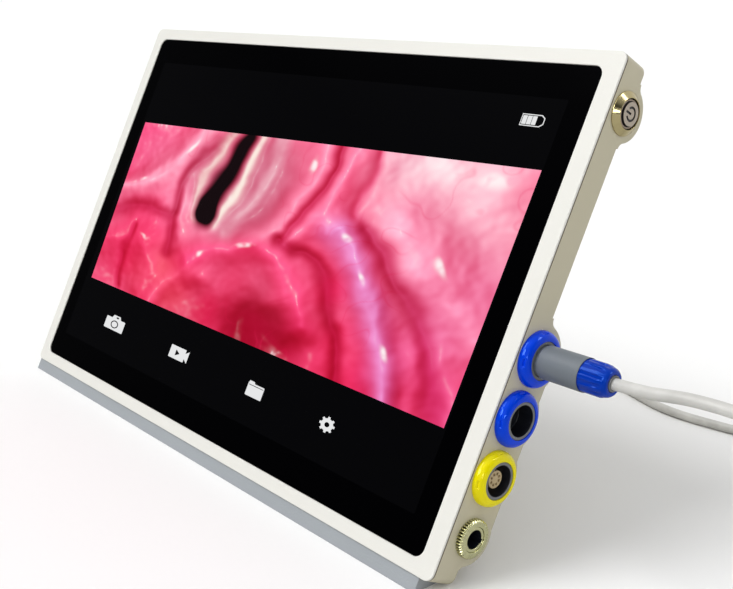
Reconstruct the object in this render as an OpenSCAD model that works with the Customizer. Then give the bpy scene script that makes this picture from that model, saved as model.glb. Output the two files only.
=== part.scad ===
/* [Body] */
// Width of the body from side to side
body_w = 264; // [256:1:276]
// Height of the body along the screen
body_h = 164; // [162:1:176]
// Depth of the thin edge all round
edge_t = 11; // [10.5:0.25:13]
// Depth of the body at the raised back
hump_t = 22; // [21:0.5:28]
// Radius of the body's corners, seen from the front
corner_r = 3; // [2.75:0.25:5]
// Radius along the back edges
back_edge_r = 1; // [0.5:0.25:1.25]
// Thickness of the case's walls
wall_t = 2.5; // [2:0.1:2.7]
// How far the raised back stands in from the body's sides
hump_inset = 12; // [11:0.5:16]
// Corner radius of the raised back
hump_r = 14; // [10:0.5:20]
// Radius along the rear edge of the raised back
hump_edge_r = 4; // [2:0.5:6]
// How much wider the raised back is at its foot than at its top
hump_draft = 3; // [1:0.5:5]
// Angle that the screen leans back from upright
lean_deg = 27; // [24:1:30]
// Thickness of the front plate's visible edge
front_edge_t = 0.7; // [0.6:0.05:0.9]
// Open joint between the front plate and the case
seam_gap = 0.3; // [0.2:0.05:0.5]

/* [Screen] */
// Front border left and right of the glass
side_border = 6.5; // [6:0.25:9]
// Front border above and below the glass
top_border = 5; // [4.8:0.1:7]
// Corner radius of the glass
glass_r = 3.5; // [2:0.5:5]
// Thickness of the cover glass
glass_t = 1.1; // [0.9:0.05:1.3]
// How far the glass lies below the front face
glass_recess = 0.3; // [0.1:0.05:0.4]
// Thickness of the sealing gasket under the glass
gasket_t = 0.4; // [0.3:0.05:0.5]
// Width of the ledge that carries the glass
ledge_w = 3; // [2.5:0.25:4]
// Thickness of that ledge
ledge_t = 1.4; // [1.2:0.1:1.5]
// Thickness of the display panel
display_t = 3; // [2.4:0.1:3.2]
// Thickness of the display's steel pan
pan_t = 0.6; // [0.4:0.1:0.8]
// Thickness of the foam pads between pan and chassis
pad_t = 0.6; // [0.4:0.1:1]
// Thickness of the chassis plate
chassis_t = 1.5; // [1.2:0.1:1.6]

/* [Sockets] */
// Distance from one socket to the next
socket_pitch = 18.8; // [18.4:0.1:20]
// How far the power socket's axis lies above the body's lower edge
power_in = 15.8; // [14.6:0.2:19.6]
// Depth of the socket axes behind the front face
socket_depth = 10.2; // [10.2:0.1:11.2]
// Outside diameter of the coloured socket rings
ring_d = 17.6; // [16.6:0.2:18.2]
// How far the coloured rings stand out of the side
ring_proud = 3; // [2.4:0.1:3.6]
// Diameter of the socket's thread
thread_d = 11.8; // [11.4:0.1:12.2]
// Bore that takes a plug
socket_bore_d = 9.8; // [9.4:0.1:10]
// Free depth of that bore
socket_bore_l = 5.6; // [5:0.1:6.4]
// Diameter of the swell in the case round each signal socket
boss_d = 21.6; // [20:0.2:23]
// Depth of the case along the row of sockets
pod_t = 18.7; // [18.4:0.1:19.4]
// Diameter of the swell round the power socket
power_boss_d = 18.4; // [17.6:0.2:19]
// Outside diameter of the knurled ring on the power socket
power_ring_d = 12.5; // [12:0.1:13.4]
// How far that ring stands out of the side
power_ring_proud = 2; // [1.6:0.1:2.6]
// Bore of the power socket
power_bore_d = 6; // [5.6:0.1:6.4]
// Free depth of the power socket's bore
power_bore_l = 7.4; // [6.4:0.2:8]
// Teeth round the knurled ring
knurl_count = 40; // [30:1:50]

/* [Power button] */
// How far the button's axis lies below the body's upper edge
button_in = 15.6; // [15:0.2:18]
// Depth of the button's axis behind the front face
button_depth = 8.4; // [8.2:0.1:9]
// Diameter of the button's bezel
button_head_d = 13.2; // [12.8:0.1:14]
// How far the bezel stands out of the side
button_proud = 1.8; // [1.4:0.1:2.4]
// Diameter of the button's barrel
button_barrel_d = 11.8; // [11.4:0.1:12]
// Diameter of the moving cap
cap_d = 7; // [6.4:0.1:7.4]
// Outside diameter of the light ring round the cap
light_ring_d = 9; // [8.6:0.1:9.4]
// Travel of the cap
button_travel = 1.5; // [1:0.1:1.8]
// Diameter of the swell in the case round the button
button_boss_d = 17.4; // [17:0.1:18]

/* [Plug] */
// Diameter of the grey shell
shell_d = 10.3; // [10:0.1:11]
// Length of the shell that shows
shell_l = 14.5; // [13:0.5:18]
// Length of the blue nut that shows
nut_l = 9; // [8:0.5:12]
// Travel of the shell when it releases the plug
release_travel = 1.2; // [0.8:0.1:1.3]
// How far the plug is drawn out of its socket
pull_travel = 12; // [10:1:20]

/* [Stand] */
// Width over the stand's legs
stand_w = 130; // [120:1:150]
// Width of each leg
leg_w = 13; // [11:0.5:15]
// Thickness of the stand
stand_t = 3.5; // [3:0.1:4]
// Angle between the open stand and the back
stand_open_deg = 48; // [44:1:54]
// How far the pivot lies above the middle of the screen
pivot_up = 26; // [24:1:27]
// Diameter of the hinge barrels
barrel_d = 7.2; // [6.8:0.1:8]
// Diameter of the hinge pins
pin_d = 3; // [2.5:0.1:3.4]
// Height of the rubber strip under the body's lower edge
foot_drop = 5; // [4.8:0.1:6]

/* [Mounting plate] */
// Hole spacing of the square mounting pattern on the back
mount_pitch = 75; // [75:25:75]
// Thread bore of the mounting inserts
insert_bore_d = 3.3; // [3.2:0.1:3.6]
// Outside diameter of the mounting inserts
insert_d = 5.6; // [5.2:0.1:6]
// Length of the mounting inserts
insert_l = 6; // [5:0.5:6]

/* [Cable] */
// Diameter of the cable
cable_d = 3.6; // [3.4:0.1:3.8]
// Middle diameter of the stored coil
coil_mid_d = 42; // [40:1:44]
// Turns in each of the coil's two layers
coil_turns = 4; // [3:1:5]
// Clear gap between neighbouring turns
coil_gap = 0.6; // [0.5:0.1:0.9]

/* [Hidden] */
$fn = 64;
hull_fn = 32;
cut = 1;
fit_gap = 0.05;
clear = 0.3;

// Derived sizes of the front
glass_w = body_w - 2 * side_border;
glass_h = body_h - 2 * top_border;
window_gap = 0.15;
front_round_share = 0.4;
front_round = front_round_share * front_edge_t;
seam_z = front_edge_t + seam_gap;
gasket_z = glass_recess + glass_t;
ledge_z = gasket_z + gasket_t;
block_z = ledge_z + ledge_t;
lip_gap = 0.2;
block_w = body_w - 2 * (wall_t + lip_gap);
block_h = body_h - 2 * (wall_t + lip_gap);
block_r = corner_r - wall_t;
display_margin = 1.2;
display_w = glass_w - 2 * (ledge_w + display_margin);
display_h = glass_h - 2 * (ledge_w + display_margin);
pan_z = gasket_z + display_t;
pad_z = pan_z + pan_t;
chassis_z = pad_z + pad_t;
chassis_back = chassis_z + chassis_t;
pad_strip_w = 8;
chassis_gap = 0.8;
chassis_w = body_w - 2 * (wall_t + chassis_gap);
chassis_h = body_h - 2 * (wall_t + chassis_gap);

// Derived sizes of the case
side_x = body_w / 2;
inner_x = side_x - wall_t;
hump_w = body_w - 2 * hump_inset;
hump_h = body_h - 2 * hump_inset;
hump_floor = hump_t - wall_t;
pod_reach = hump_inset + hump_r;
pod_x = side_x - pod_reach;
pod_wall = 2.1;
button_pod_wall = 1.7;
pod_fillet_r = 2.5;
ramp_wall_share = 1.5;
fillet_steps = 6;
swell_steps = 24;

// Places along the side, as heights above the middle of the screen
power_y = power_in - body_h / 2;
data_y = power_y + socket_pitch;
video_2_y = data_y + socket_pitch;
video_1_y = video_2_y + socket_pitch;
button_up = body_h / 2 - button_in;
signal_ys = [video_1_y, video_2_y, data_y];

// Sockets
mouth_lip = 0.2;
mouth_x = side_x + ring_proud - mouth_lip;
bore_floor_x = mouth_x - socket_bore_l;
socket_tail_l = 6.5;
socket_tail_x = inner_x - socket_tail_l;
shoulder_over = 1.6;
shoulder_d = thread_d + shoulder_over;
shoulder_t = 2;
seal_t = 0.4;
seat_step = 0.5;
insert_seat_d = socket_bore_d - seat_step;
insert_tail_l = 3;
insert_back_x = socket_tail_x - insert_tail_l;
post_d = 5.6;
post_drop = 1.7;
pin_hole_d = 0.9;
pin_circle_share = 0.62;
pin_count = 8;
tail_pin_d = 0.8;
tail_pin_l = 4;
ring_round_r = 2.6;
ring_slots = 4;
ring_slot_w = 2.4;
ring_slot_t = 0.8;
ring_slot_deg = 20;

// Power socket
power_wall = 1;
power_tail_l = 6;
power_thread_d = power_bore_d + 2 * power_wall;
power_shoulder_d = power_thread_d + 2 * shoulder_over;
power_mouth_x = side_x + power_ring_proud - mouth_lip;
power_floor_x = power_mouth_x - power_bore_l;
power_tail_x = power_floor_x - power_tail_l;
power_tail_d = power_thread_d + power_wall;
key_w = 1.3;
key_t = 1.1;
knurl_t = 0.35;
knurl_flat_share = 0.5;
power_chamfer = 0.4;
power_pad_w = 1.6;
power_pad_l = 7;

// Power button
button_flange_t = 0.4;
button_lip_w = 0.2;
ring_slack = 0.2;
button_throat_d = light_ring_d + ring_slack;
button_x = side_x + button_proud;
cap_proud = 0.3;
cap_l = 6;
cap_gap = 0.04;
ring_drop = 0.3;
barrel_over = 1;
light_ring_x = button_x - ring_drop;
light_ring_l = 1.6;
switch_x = button_x + cap_proud - cap_l - button_travel - clear;
barrel_back_x = switch_x - barrel_over;
switch_l = 10;
switch_d = 6.4;
button_nut_d = button_boss_d - 2 * (button_pod_wall + clear);
button_nut_t = 2.6;
symbol_w = 0.7;
symbol_r = 1.9;
symbol_deep = 0.3;
symbol_gap_deg = 70;

// Plug
plug_y = video_1_y;
plug_face_gap = 1.2;
shell_x = mouth_x + plug_face_gap;
shell_end_x = shell_x + shell_l;
nose_slack = 0.3;
nose_d = socket_bore_d - nose_slack;
nose_l = 3.4;
nose_step = 0.8;
core_d = 7.8;
core_tip_x = bore_floor_x + clear;
nut_step = 0.45;
nut_d = shell_d - nut_step;
nut_lap = 2.2;
nut_x = shell_end_x - nut_lap;
nut_end_x = shell_end_x + nut_l;
shell_pocket_x = nut_x - release_travel - clear;
nut_bore_d = 6.4;
nut_cone_l = 3.2;
nut_tip_d = 7.2;
nut_rib_w = 1.1;
nut_rib_t = 0.45;
nut_ribs = 12;
collet_wall = 0.6;
collet_d = cable_d + 2 * collet_wall;
collet_l = 5;
collet_proud = 0.4;
core_over = 1.2;
cable_in = 1.4;
collet_x = nut_end_x + collet_proud - collet_l;
core_tail_x = collet_x - core_over;
cable_start_x = collet_x + cable_in;

// Stand
base_t = 1.2;
barrel_gap = 0.6;
leg_step = 0.4;
pivot_z = hump_t + base_t + barrel_gap + barrel_d / 2;
stand_front = barrel_d / 2 - leg_step;
bail_z = pivot_z - stand_front;
stop_z = hump_t + base_t + clear;
lug_t = 4;
lug_gap = 0.3;
lug_over = 0.4;
lug_d = barrel_d + 2 * lug_over;
bracket_w = leg_w + 2 * (lug_gap + lug_t);
bracket_h = 22;
bracket_low_y = pivot_up - barrel_d / 2;
bracket_x = stand_w / 2 - leg_w / 2;
bar_h = 14;
bail_r = 8;
bail_inner_r = 4;
stop_t = 1.8;
stop_l = 7;
pin_gap = 0.05;
pin_over = 0.6;
foot_pad_t = 1.6;
foot_pad_w = 96;
notch_w = 26;
notch_h = 4;
screw_d = 2.5;
screw_head_d = 4.6;
screw_head_t = 1.4;
bracket_screw_y = bracket_low_y + bracket_h - screw_head_d;

// The table, from the strip under the body's lower edge
foot_front = 0.8;
foot_back_gap = 0.4;
foot_in_left = 1;
foot_in_right = 5;
u_y = sin(lean_deg);
u_z = cos(lean_deg);
table_drop = (body_h / 2 + foot_drop) * u_z + foot_front * u_y;
foot_back = (table_drop - body_h / 2 * u_z) / u_y;
pivot_h = table_drop + pivot_up * u_z - pivot_z * u_y;
// Slope of the open stand, measured from straight down
stand_slope_deg = stand_open_deg - lean_deg;
stand_reach = (pivot_h - stand_front * sin(stand_slope_deg)) / cos(stand_slope_deg);
stand_l = stand_reach - foot_pad_t;

// The frame of the whole part
front_y = -(body_h / 2 + foot_drop) * u_y + foot_front * u_z;
pivot_row_y = pivot_up * u_y + pivot_z * u_z;
stand_back = stand_front - stand_t;
stand_back_reach = (pivot_h - stand_back * sin(stand_slope_deg)) / cos(stand_slope_deg);
stand_foot_y = pivot_row_y + stand_back_reach * sin(stand_slope_deg) - stand_back * cos(stand_slope_deg);
shift_x = -ring_proud / 2;
shift_y = -(front_y + stand_foot_y) / 2;

// Case screws, along the ledges above and below the raised back
case_screw_in = 6;
case_screw_y = body_h / 2 - case_screw_in;
case_screw_x_share = 0.38;
case_screw_xs = [-case_screw_x_share * body_w, 0, case_screw_x_share * body_w];
screw_pad_d = 6.4;
screw_bore_d = 2.7;
screw_bite = 0.7;

// Mounting inserts
mount_in = 17.5;
mount_boss_d = 9;
mount_half = mount_pitch / 2;
mount_y = mount_half + mount_in - hump_h / 2;

// Board and battery
bay_w = hump_w - 2 * wall_t;
bay_h = hump_h - 2 * wall_t;
speaker_w = 44;
speaker_h = 20;
speaker_t = 4.4;
speaker_in_x = 26;
speaker_in_y = 21.5;
speaker_x = speaker_in_x - bay_w / 2;
speaker_y = speaker_in_y - bay_h / 2;
battery_w = 96;
battery_t = 7;
battery_in_x = 3.5;
battery_in_y = 9.5;
battery_gap = 6;
battery_x = battery_w / 2 + battery_in_x - bay_w / 2;
battery_top = bay_h / 2 - battery_in_y;
battery_low = speaker_y + speaker_h / 2 + battery_gap;
battery_h = battery_top - battery_low;
battery_y = (battery_top + battery_low) / 2;
board_gap = 10;
board_in_x = 19.5;
board_in_y = 8.5;
board_left = battery_x + battery_w / 2 + board_gap;
board_right = bay_w / 2 - board_in_x;
board_w = board_right - board_left;
board_h = bay_h - 2 * board_in_y;
board_x = (board_right + board_left) / 2;
board_t = 1.6;
standoff_h = 3;
standoff_d = 5;
board_z = chassis_back + standoff_h;
board_back = board_z + board_t;
board_hole_in = 5;
grille_d = 2;
grille_pitch = 4.2;
vent_w = 1.8;
vent_h = 13;
vent_pitch = 5;
vent_count = 13;
vent_in = 16;
vent_y = hump_h / 2 - vent_in;
label_w = 52;
label_h = 34;
label_r = 2.5;
label_t = 0.5;
label_deep = 0.3;

// Cable
cable_sides = 8;
coil_sides = 6;
coil_steps = 24;
route_z = 1.9;
// The free cable, from inside the plug's collet to the coil, in the frame of the whole part
route = [
    [170, -11.2, 65.2], [180, -9.8, 66.2], [192, -7.6, 65.8], [204, -4.8, 63.6], [216, -1.4, 59.2],
    [227, 2.6, 52.6], [237, 7, 44], [245, 12, 34.4], [251, 17.4, 24.6], [255, 23.4, 15.4],
    [257.4, 30, 8], [258, 38.4, 3.4], [257, 48, 1.9], [254, 58, 1.9], [248, 69, 1.9], [240, 79, 1.9],
    [230, 88.6, 1.9], [218, 98, 1.9], [205, 106.6, 1.9], [191, 114, 1.9], [176, 120, 1.9],
    [161, 124, 1.9], [146, 126, 1.9], [132, 126, 1.9], [118, 124.4, 1.9], [106, 122.8, 1.9],
    [95, 122.4, 1.9], [84, 124, 1.9], [73, 127.6, 1.9], [62, 131.2, 1.9], [49, 133.6, 1.9],
    [34, 134.4, 1.9], [19, 134.2, 2.2], [4, 134, 2.8]
];

// A rounded rectangle about the origin
module rounded(w, h, r) {
    square([w - 2 * r, h], center = true);
    square([w, h - 2 * r], center = true);
    for (x = [-1, 1], y = [-1, 1])
        translate([x * (w / 2 - r), y * (h / 2 - r)])
            circle(r);
}

// A rounded plate from depth z0 back to depth z1
module plate(w, h, r, z0, z1) {
    translate([0, 0, -z1])
        linear_extrude(z1 - z0)
            rounded(w, h, r);
}

// Points on an arc from angle a0 to a1
function arc(cx, cy, r, a0, a1, n) =
    [for (i = [0:n]) [cx + r * cos(a0 + (a1 - a0) * i / n), cy + r * sin(a0 + (a1 - a0) * i / n)]];

// A slab whose face at z = 0 has a rounded edge, and whose sides spread by draft at its foot
module slab(w, h, r, t, edge_r, draft) {
    arc_steps = 5;
    profile = concat(
        [[0, 0]],
        arc(r - edge_r, -edge_r, edge_r, 90, 0, arc_steps),
        [[r + draft, -t], [0, -t]]
    );
    hull()
        for (x = [-1, 1], y = [-1, 1])
            translate([x * (w / 2 - r), y * (h / 2 - r), 0])
                rotate_extrude($fn = hull_fn)
                    polygon(profile);
}

// A flat outline, drawn as height and depth, carried along the width
module along_x(x0, x1) {
    translate([x0, 0, 0])
        rotate([90, 0, 90])
            linear_extrude(x1 - x0)
                children();
}

// A round bar along the width
module bar(x0, x1, d, y, z) {
    translate([x0, y, -z])
        rotate([0, 90, 0])
            cylinder(h = x1 - x0, d = d);
}

// A turned shape about an axis along the width: its profile gives distance along x and radius
module turned(y, z, profile) {
    translate([0, y, -z])
        rotate([0, 90, 0])
            rotate_extrude()
                polygon([for (p = profile) [p[1], p[0]]]);
}

// The leaning frame of the tablet, standing on the table
module lean() {
    translate([shift_x, shift_y, table_drop])
        rotate([90 - lean_deg, 0, 0])
            children();
}

// The stand turned open about its pivot
module opened() {
    translate([0, pivot_up, -pivot_z])
        rotate([stand_open_deg, 0, 0])
            translate([0, -pivot_up, pivot_z])
                children();
}

// Places of the case screws
module at_case_screws() {
    for (x = case_screw_xs, s = [-1, 1])
        translate([x, s * case_screw_y, 0])
            children();
}

// Corners of a rectangle about a point
module at_corners(x, y, half_w, half_h) {
    for (i = [-1, 1], j = [-1, 1])
        translate([x + i * half_w, y + j * half_h, 0])
            children();
}

module front_bezel() {
    color("whitesmoke") lean() difference() {
        union() {
            slab(body_w, body_h, corner_r, front_edge_t, front_round, 0);
            plate(block_w, block_h, block_r, front_edge_t, block_z);
            at_case_screws()
                translate([0, 0, -chassis_z])
                    cylinder(h = chassis_z - block_z, d = screw_pad_d - 2 * lip_gap);
        }
        plate(glass_w + 2 * window_gap, glass_h + 2 * window_gap, glass_r, -cut, ledge_z);
        plate(glass_w - 2 * ledge_w, glass_h - 2 * ledge_w, glass_r, 0, block_z + cut);
        at_case_screws()
            translate([0, 0, -chassis_z - cut])
                cylinder(h = chassis_z + cut - ledge_z - gasket_t, d = screw_d);
        bar(inner_x - button_nut_t - clear, inner_x + cut, button_nut_d + 2 * clear,
            button_up, button_depth);
        bar(glass_w / 2 - ledge_w - cut, inner_x, button_barrel_d + 2 * clear, button_up, button_depth);
    }
}

module cover_glass() {
    color("black") lean()
        plate(glass_w, glass_h, glass_r - window_gap, glass_recess, gasket_z);
}

module glass_gasket() {
    color("dimgray") lean() difference() {
        plate(glass_w, glass_h, glass_r - window_gap, gasket_z, ledge_z);
        plate(glass_w - 2 * ledge_w, glass_h - 2 * ledge_w, glass_r, gasket_z - cut, ledge_z + cut);
    }
}

module display_panel() {
    color("darkslategray") lean()
        plate(display_w, display_h, glass_r / 2, gasket_z, pan_z);
}

module display_pan() {
    color("silver") lean()
        plate(display_w, display_h, glass_r / 2, pan_z, pad_z);
}

module display_pads() {
    color("black") lean()
        for (s = [-1, 1])
            translate([0, s * (display_h / 2 - pad_strip_w), 0])
                plate(display_w - 2 * pad_strip_w, pad_strip_w, pad_t, pad_z, chassis_z);
}

// Openings in the chassis for the sockets and the button
module chassis_notches() {
    notch_in = inner_x - pod_x;
    socket_top = video_1_y + shoulder_d / 2 + 2 * clear;
    socket_low = power_y - power_shoulder_d / 2 - 2 * clear;
    translate([inner_x - notch_in, socket_low])
        square([notch_in + cut, socket_top - socket_low]);
    translate([inner_x - notch_in, button_up - button_nut_d / 2 - 2 * clear])
        square([notch_in + cut, button_nut_d + 4 * clear]);
}

module chassis_plate() {
    color("lightsteelblue") lean() difference() {
        translate([0, 0, -chassis_back])
            linear_extrude(chassis_t)
                difference() {
                    rounded(chassis_w, chassis_h, block_r);
                    chassis_notches();
                }
        at_case_screws()
            translate([0, 0, -chassis_back - cut])
                cylinder(h = chassis_t + 2 * cut, d = screw_bore_d);
    }
}

// How far to the side of a swell its hollow fillet meets the straight back
function foot(z, r, back, f) = sqrt((r + f) * (r + f) - (back + f - z) * (back + f - z));
function lean_of(z, r, back, f) = atan2(back + f - z, foot(z, r, back, f));

// Outline of a round swell, from the high side to the low side, with a hollow fillet on each
function swell(y, z, r, back_hi, f_hi, back_lo, f_lo) =
    let (
        foot_hi = foot(z, r, back_hi, f_hi),
        foot_lo = foot(z, r, back_lo, f_lo),
        a_hi = lean_of(z, r, back_hi, f_hi),
        a_lo = lean_of(z, r, back_lo, f_lo)
    )
    concat(
        arc(y + foot_hi, -back_hi - f_hi, f_hi, 90, 180 - a_hi, fillet_steps),
        arc(y, -z, r, -a_hi, a_lo - 180, swell_steps),
        arc(y - foot_lo, -back_lo - f_lo, f_lo, a_lo, 90, fillet_steps)
    );

// Outline of the swells: the button's, then the sockets' along their straight back
root_z = edge_t - wall_t / 2;
small_r = pod_fillet_r / 2;
button_outline = swell(button_up, button_depth, button_boss_d / 2,
    edge_t, pod_fillet_r, edge_t, pod_fillet_r);
socket_outline = concat(
    swell(video_1_y, socket_depth, boss_d / 2, edge_t, pod_fillet_r, pod_t, small_r),
    swell(video_2_y, socket_depth, boss_d / 2, pod_t, small_r, pod_t, small_r),
    swell(data_y, socket_depth, boss_d / 2, pod_t, small_r, pod_t, small_r),
    swell(power_y, socket_depth, power_boss_d / 2, pod_t, small_r, edge_t, small_r)
);
module pod_outline(outline) {
    last = len(outline) - 1;
    polygon(concat([[outline[0][0], -root_z]], outline, [[outline[last][0], -root_z]]));
}

// Hollow of the same swells
module pod_hollow() {
    intersection() {
        union() {
            translate([button_up, -button_depth])
                circle(button_boss_d / 2 - button_pod_wall);
            for (y = signal_ys)
                translate([y, -socket_depth])
                    circle(boss_d / 2 - pod_wall);
            translate([power_y, -socket_depth])
                circle(power_boss_d / 2 - pod_wall);
            translate([power_y, -(pod_t - pod_wall)])
                square([video_1_y - power_y, pod_t - pod_wall - seam_z]);
        }
        translate([-body_h / 2, -2 * hump_t])
            square([body_h, 2 * hump_t - edge_t + wall_t + cut]);
    }
}

// The space outside a slope that starts at x0 on the thin edge's back and rises towards the side
module pod_ramp(x0) {
    translate([0, body_h / 2, 0])
        rotate([90, 0, 0])
            linear_extrude(body_h)
                polygon([
                    [x0, 0],
                    [side_x + cut, 0],
                    [side_x + cut, -2 * hump_t],
                    [x0 + 2 * hump_t - edge_t, -2 * hump_t],
                    [x0, -edge_t]
                ]);
}

module rear_housing() {
    color("antiquewhite") lean() difference() {
        union() {
            difference() {
                union() {
                    translate([0, 0, -edge_t]) mirror([0, 0, 1])
                        slab(body_w, body_h, corner_r, edge_t - seam_z, back_edge_r, 0);
                    translate([0, 0, -hump_t]) mirror([0, 0, 1])
                        slab(hump_w, hump_h, hump_r, hump_t - root_z, hump_edge_r, hump_draft);
                    intersection() {
                        along_x(pod_x, side_x)
                            union() {
                                pod_outline(button_outline);
                                pod_outline(socket_outline);
                            }
                        pod_ramp(pod_x);
                    }
                }
                plate(body_w - 2 * wall_t, body_h - 2 * wall_t, block_r, 0, edge_t - wall_t);
                translate([0, 0, -hump_floor]) mirror([0, 0, 1])
                    slab(hump_w - 2 * wall_t, hump_h - 2 * wall_t, hump_r - wall_t,
                        hump_floor - edge_t + wall_t + cut, hump_edge_r / 2, 0);
                intersection() {
                    along_x(pod_x, inner_x)
                        pod_hollow();
                    pod_ramp(pod_x + ramp_wall_share * wall_t);
                }
            }
            at_case_screws()
                translate([0, 0, -edge_t + wall_t / 2])
                    cylinder(h = edge_t - wall_t / 2 - chassis_back, d = screw_pad_d);
            at_corners(0, mount_y, mount_half, mount_half)
                translate([0, 0, -hump_t + wall_t / 2])
                    cylinder(h = insert_l, d = mount_boss_d);
        }
        at_case_screws() {
            translate([0, 0, -edge_t - cut])
                cylinder(h = edge_t, d = screw_bore_d);
            translate([0, 0, -edge_t - cut])
                cylinder(h = screw_head_t + cut, d = screw_head_d + 2 * lip_gap);
        }
        at_corners(0, mount_y, mount_half, mount_half)
            translate([0, 0, -hump_t - cut])
                cylinder(h = insert_l + cut, d = insert_d);
        for (y = signal_ys)
            bar(inner_x - cut, side_x + cut, thread_d + 2 * fit_gap, y, socket_depth);
        bar(inner_x - cut, side_x + cut, power_thread_d + 2 * fit_gap, power_y, socket_depth);
        bar(inner_x - cut, side_x + cut, button_barrel_d + 2 * fit_gap, button_up, button_depth);
        bracket_holes(cut, wall_t - 0.5 * screw_bite);
        translate([0, 0, -hump_t - cut])
            linear_extrude(label_deep + cut)
                translate([0, mount_y])
                    rounded(label_w, label_h, label_r);
        for (i = [0:vent_count - 1])
            translate([(i - (vent_count - 1) / 2) * vent_pitch, vent_y, -hump_t - cut])
                linear_extrude(wall_t + 2 * cut)
                    rounded(vent_w, vent_h, vent_w / 2 - fit_gap);
        for (i = [-2:2], j = [-1:1])
            translate([speaker_x + i * grille_pitch, speaker_y + j * grille_pitch, -hump_t - cut])
                cylinder(h = wall_t + 2 * cut, d = grille_d, $fn = 16);
    }
}

// Holes for the bracket screws, from over the outside face inwards
module bracket_holes(over, deep) {
    for (s = [-1, 1], t = [-1, 1])
        translate([s * bracket_x + t * bracket_w / 4, bracket_screw_y, -hump_t - over])
            cylinder(h = over + deep, d = screw_d);
}

module main_board() {
    color("darkgreen") lean() difference() {
        translate([board_x, 0, 0])
            plate(board_w, board_h, standoff_d / 2, board_z, board_back);
        at_corners(board_x, 0, board_w / 2 - board_hole_in, board_h / 2 - board_hole_in)
            translate([0, 0, -board_back - cut])
                cylinder(h = board_t + 2 * cut, d = screw_bore_d);
    }
}

module board_standoffs() {
    color("goldenrod") lean()
        at_corners(board_x, 0, board_w / 2 - board_hole_in, board_h / 2 - board_hole_in)
            translate([0, 0, -board_z])
                difference() {
                    cylinder(h = standoff_h, d = standoff_d);
                    translate([0, 0, -cut])
                        cylinder(h = standoff_h / 2 + cut, d = screw_d);
                }
}

module board_screws() {
    color("silver") lean()
        at_corners(board_x, 0, board_w / 2 - board_hole_in, board_h / 2 - board_hole_in) {
            translate([0, 0, -board_back - screw_head_t])
                cylinder(h = screw_head_t, d = screw_head_d);
            translate([0, 0, -board_back])
                cylinder(h = board_t + standoff_h / 2, d = screw_d);
        }
}

module board_chips() {
    // Place and size of each chip, as shares of the board
    chip_shares = [
        [-0.25, 0.28, 0.16, 0.14], [0.08, 0.3, 0.1, 0.09], [0.3, 0.3, 0.13, 0.12],
        [-0.3, -0.05, 0.12, 0.1], [0.32, 0.02, 0.1, 0.16], [0.05, -0.06, 0.08, 0.08],
        [-0.05, -0.3, 0.2, 0.06]
    ];
    color("dimgray") lean()
        for (c = chip_shares)
            translate([board_x + c[0] * board_w, c[1] * board_h, 0])
                plate(c[2] * board_w, c[3] * board_h, lip_gap, board_back, board_back + board_t);
}

module shield_can() {
    can_share = 0.24;
    color("lightgray") lean()
        translate([board_x + board_w / 4, -board_h / 4, 0])
            plate(can_share * board_w, can_share * board_h, lip_gap, board_back, board_back + 2 * board_t);
}

module battery_pack() {
    color("slategray") lean()
        translate([battery_x, battery_y, 0])
            plate(battery_w, battery_h, standoff_d / 2, chassis_back, chassis_back + battery_t);
}

module speaker() {
    color("black") lean()
        translate([speaker_x, speaker_y, 0])
            plate(speaker_w, speaker_h, standoff_d, hump_floor - speaker_t, hump_floor);
}

module case_screws() {
    color("silver") lean()
        at_case_screws() {
            translate([0, 0, -edge_t])
                cylinder(h = screw_head_t, d = screw_head_d);
            translate([0, 0, -edge_t])
                cylinder(h = edge_t - block_z + screw_bite, d = screw_d);
        }
}

module mount_inserts() {
    color("goldenrod") lean()
        at_corners(0, mount_y, mount_half, mount_half)
            translate([0, 0, -hump_t])
                difference() {
                    cylinder(h = insert_l, d = insert_d);
                    translate([0, 0, -cut])
                        cylinder(h = insert_l + 2 * cut, d = insert_bore_d);
                }
}

module label_plate() {
    color("gainsboro") lean()
        translate([0, 0, -hump_t + label_deep - label_t])
            linear_extrude(label_t)
                translate([0, mount_y])
                    rounded(label_w - 2 * clear, label_h - 2 * clear, label_r - clear);
}

module hinge_brackets() {
    color("silver") lean()
        for (s = [-1, 1])
            translate([s * bracket_x, 0, 0])
                difference() {
                    union() {
                        translate([-bracket_w / 2, bracket_low_y, -hump_t - base_t])
                            cube([bracket_w, bracket_h, base_t]);
                        for (t = [-1, 1])
                            translate([t * (bracket_w - lug_t) / 2 - lug_t / 2, 0, 0])
                                along_x(0, lug_t)
                                    union() {
                                        translate([pivot_up, -pivot_z])
                                            circle(d = lug_d);
                                        translate([pivot_up - barrel_d / 2, -pivot_z])
                                            square([lug_d, pivot_z - hump_t]);
                                    }
                    }
                    bar(-bracket_w, bracket_w, pin_d + 2 * pin_gap, pivot_up, pivot_z);
                    for (t = [-1, 1])
                        translate([t * bracket_w / 4, bracket_screw_y, -hump_t - 2 * base_t])
                            cylinder(h = 4 * base_t, d = screw_bore_d);
                }
}

module bracket_screws() {
    color("dimgray") lean()
        for (s = [-1, 1], t = [-1, 1])
            translate([s * bracket_x + t * bracket_w / 4, bracket_screw_y, 0]) {
                translate([0, 0, -hump_t - base_t - screw_head_t])
                    cylinder(h = screw_head_t, d = screw_head_d);
                translate([0, 0, -hump_t - base_t])
                    cylinder(h = base_t + wall_t - screw_bite, d = screw_d);
            }
}

module hinge_pins() {
    color("silver") lean()
        for (s = [-1, 1])
            bar(s * bracket_x - bracket_w / 2 - pin_over, s * bracket_x + bracket_w / 2 + pin_over,
                pin_d, pivot_up, pivot_z);
}

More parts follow.
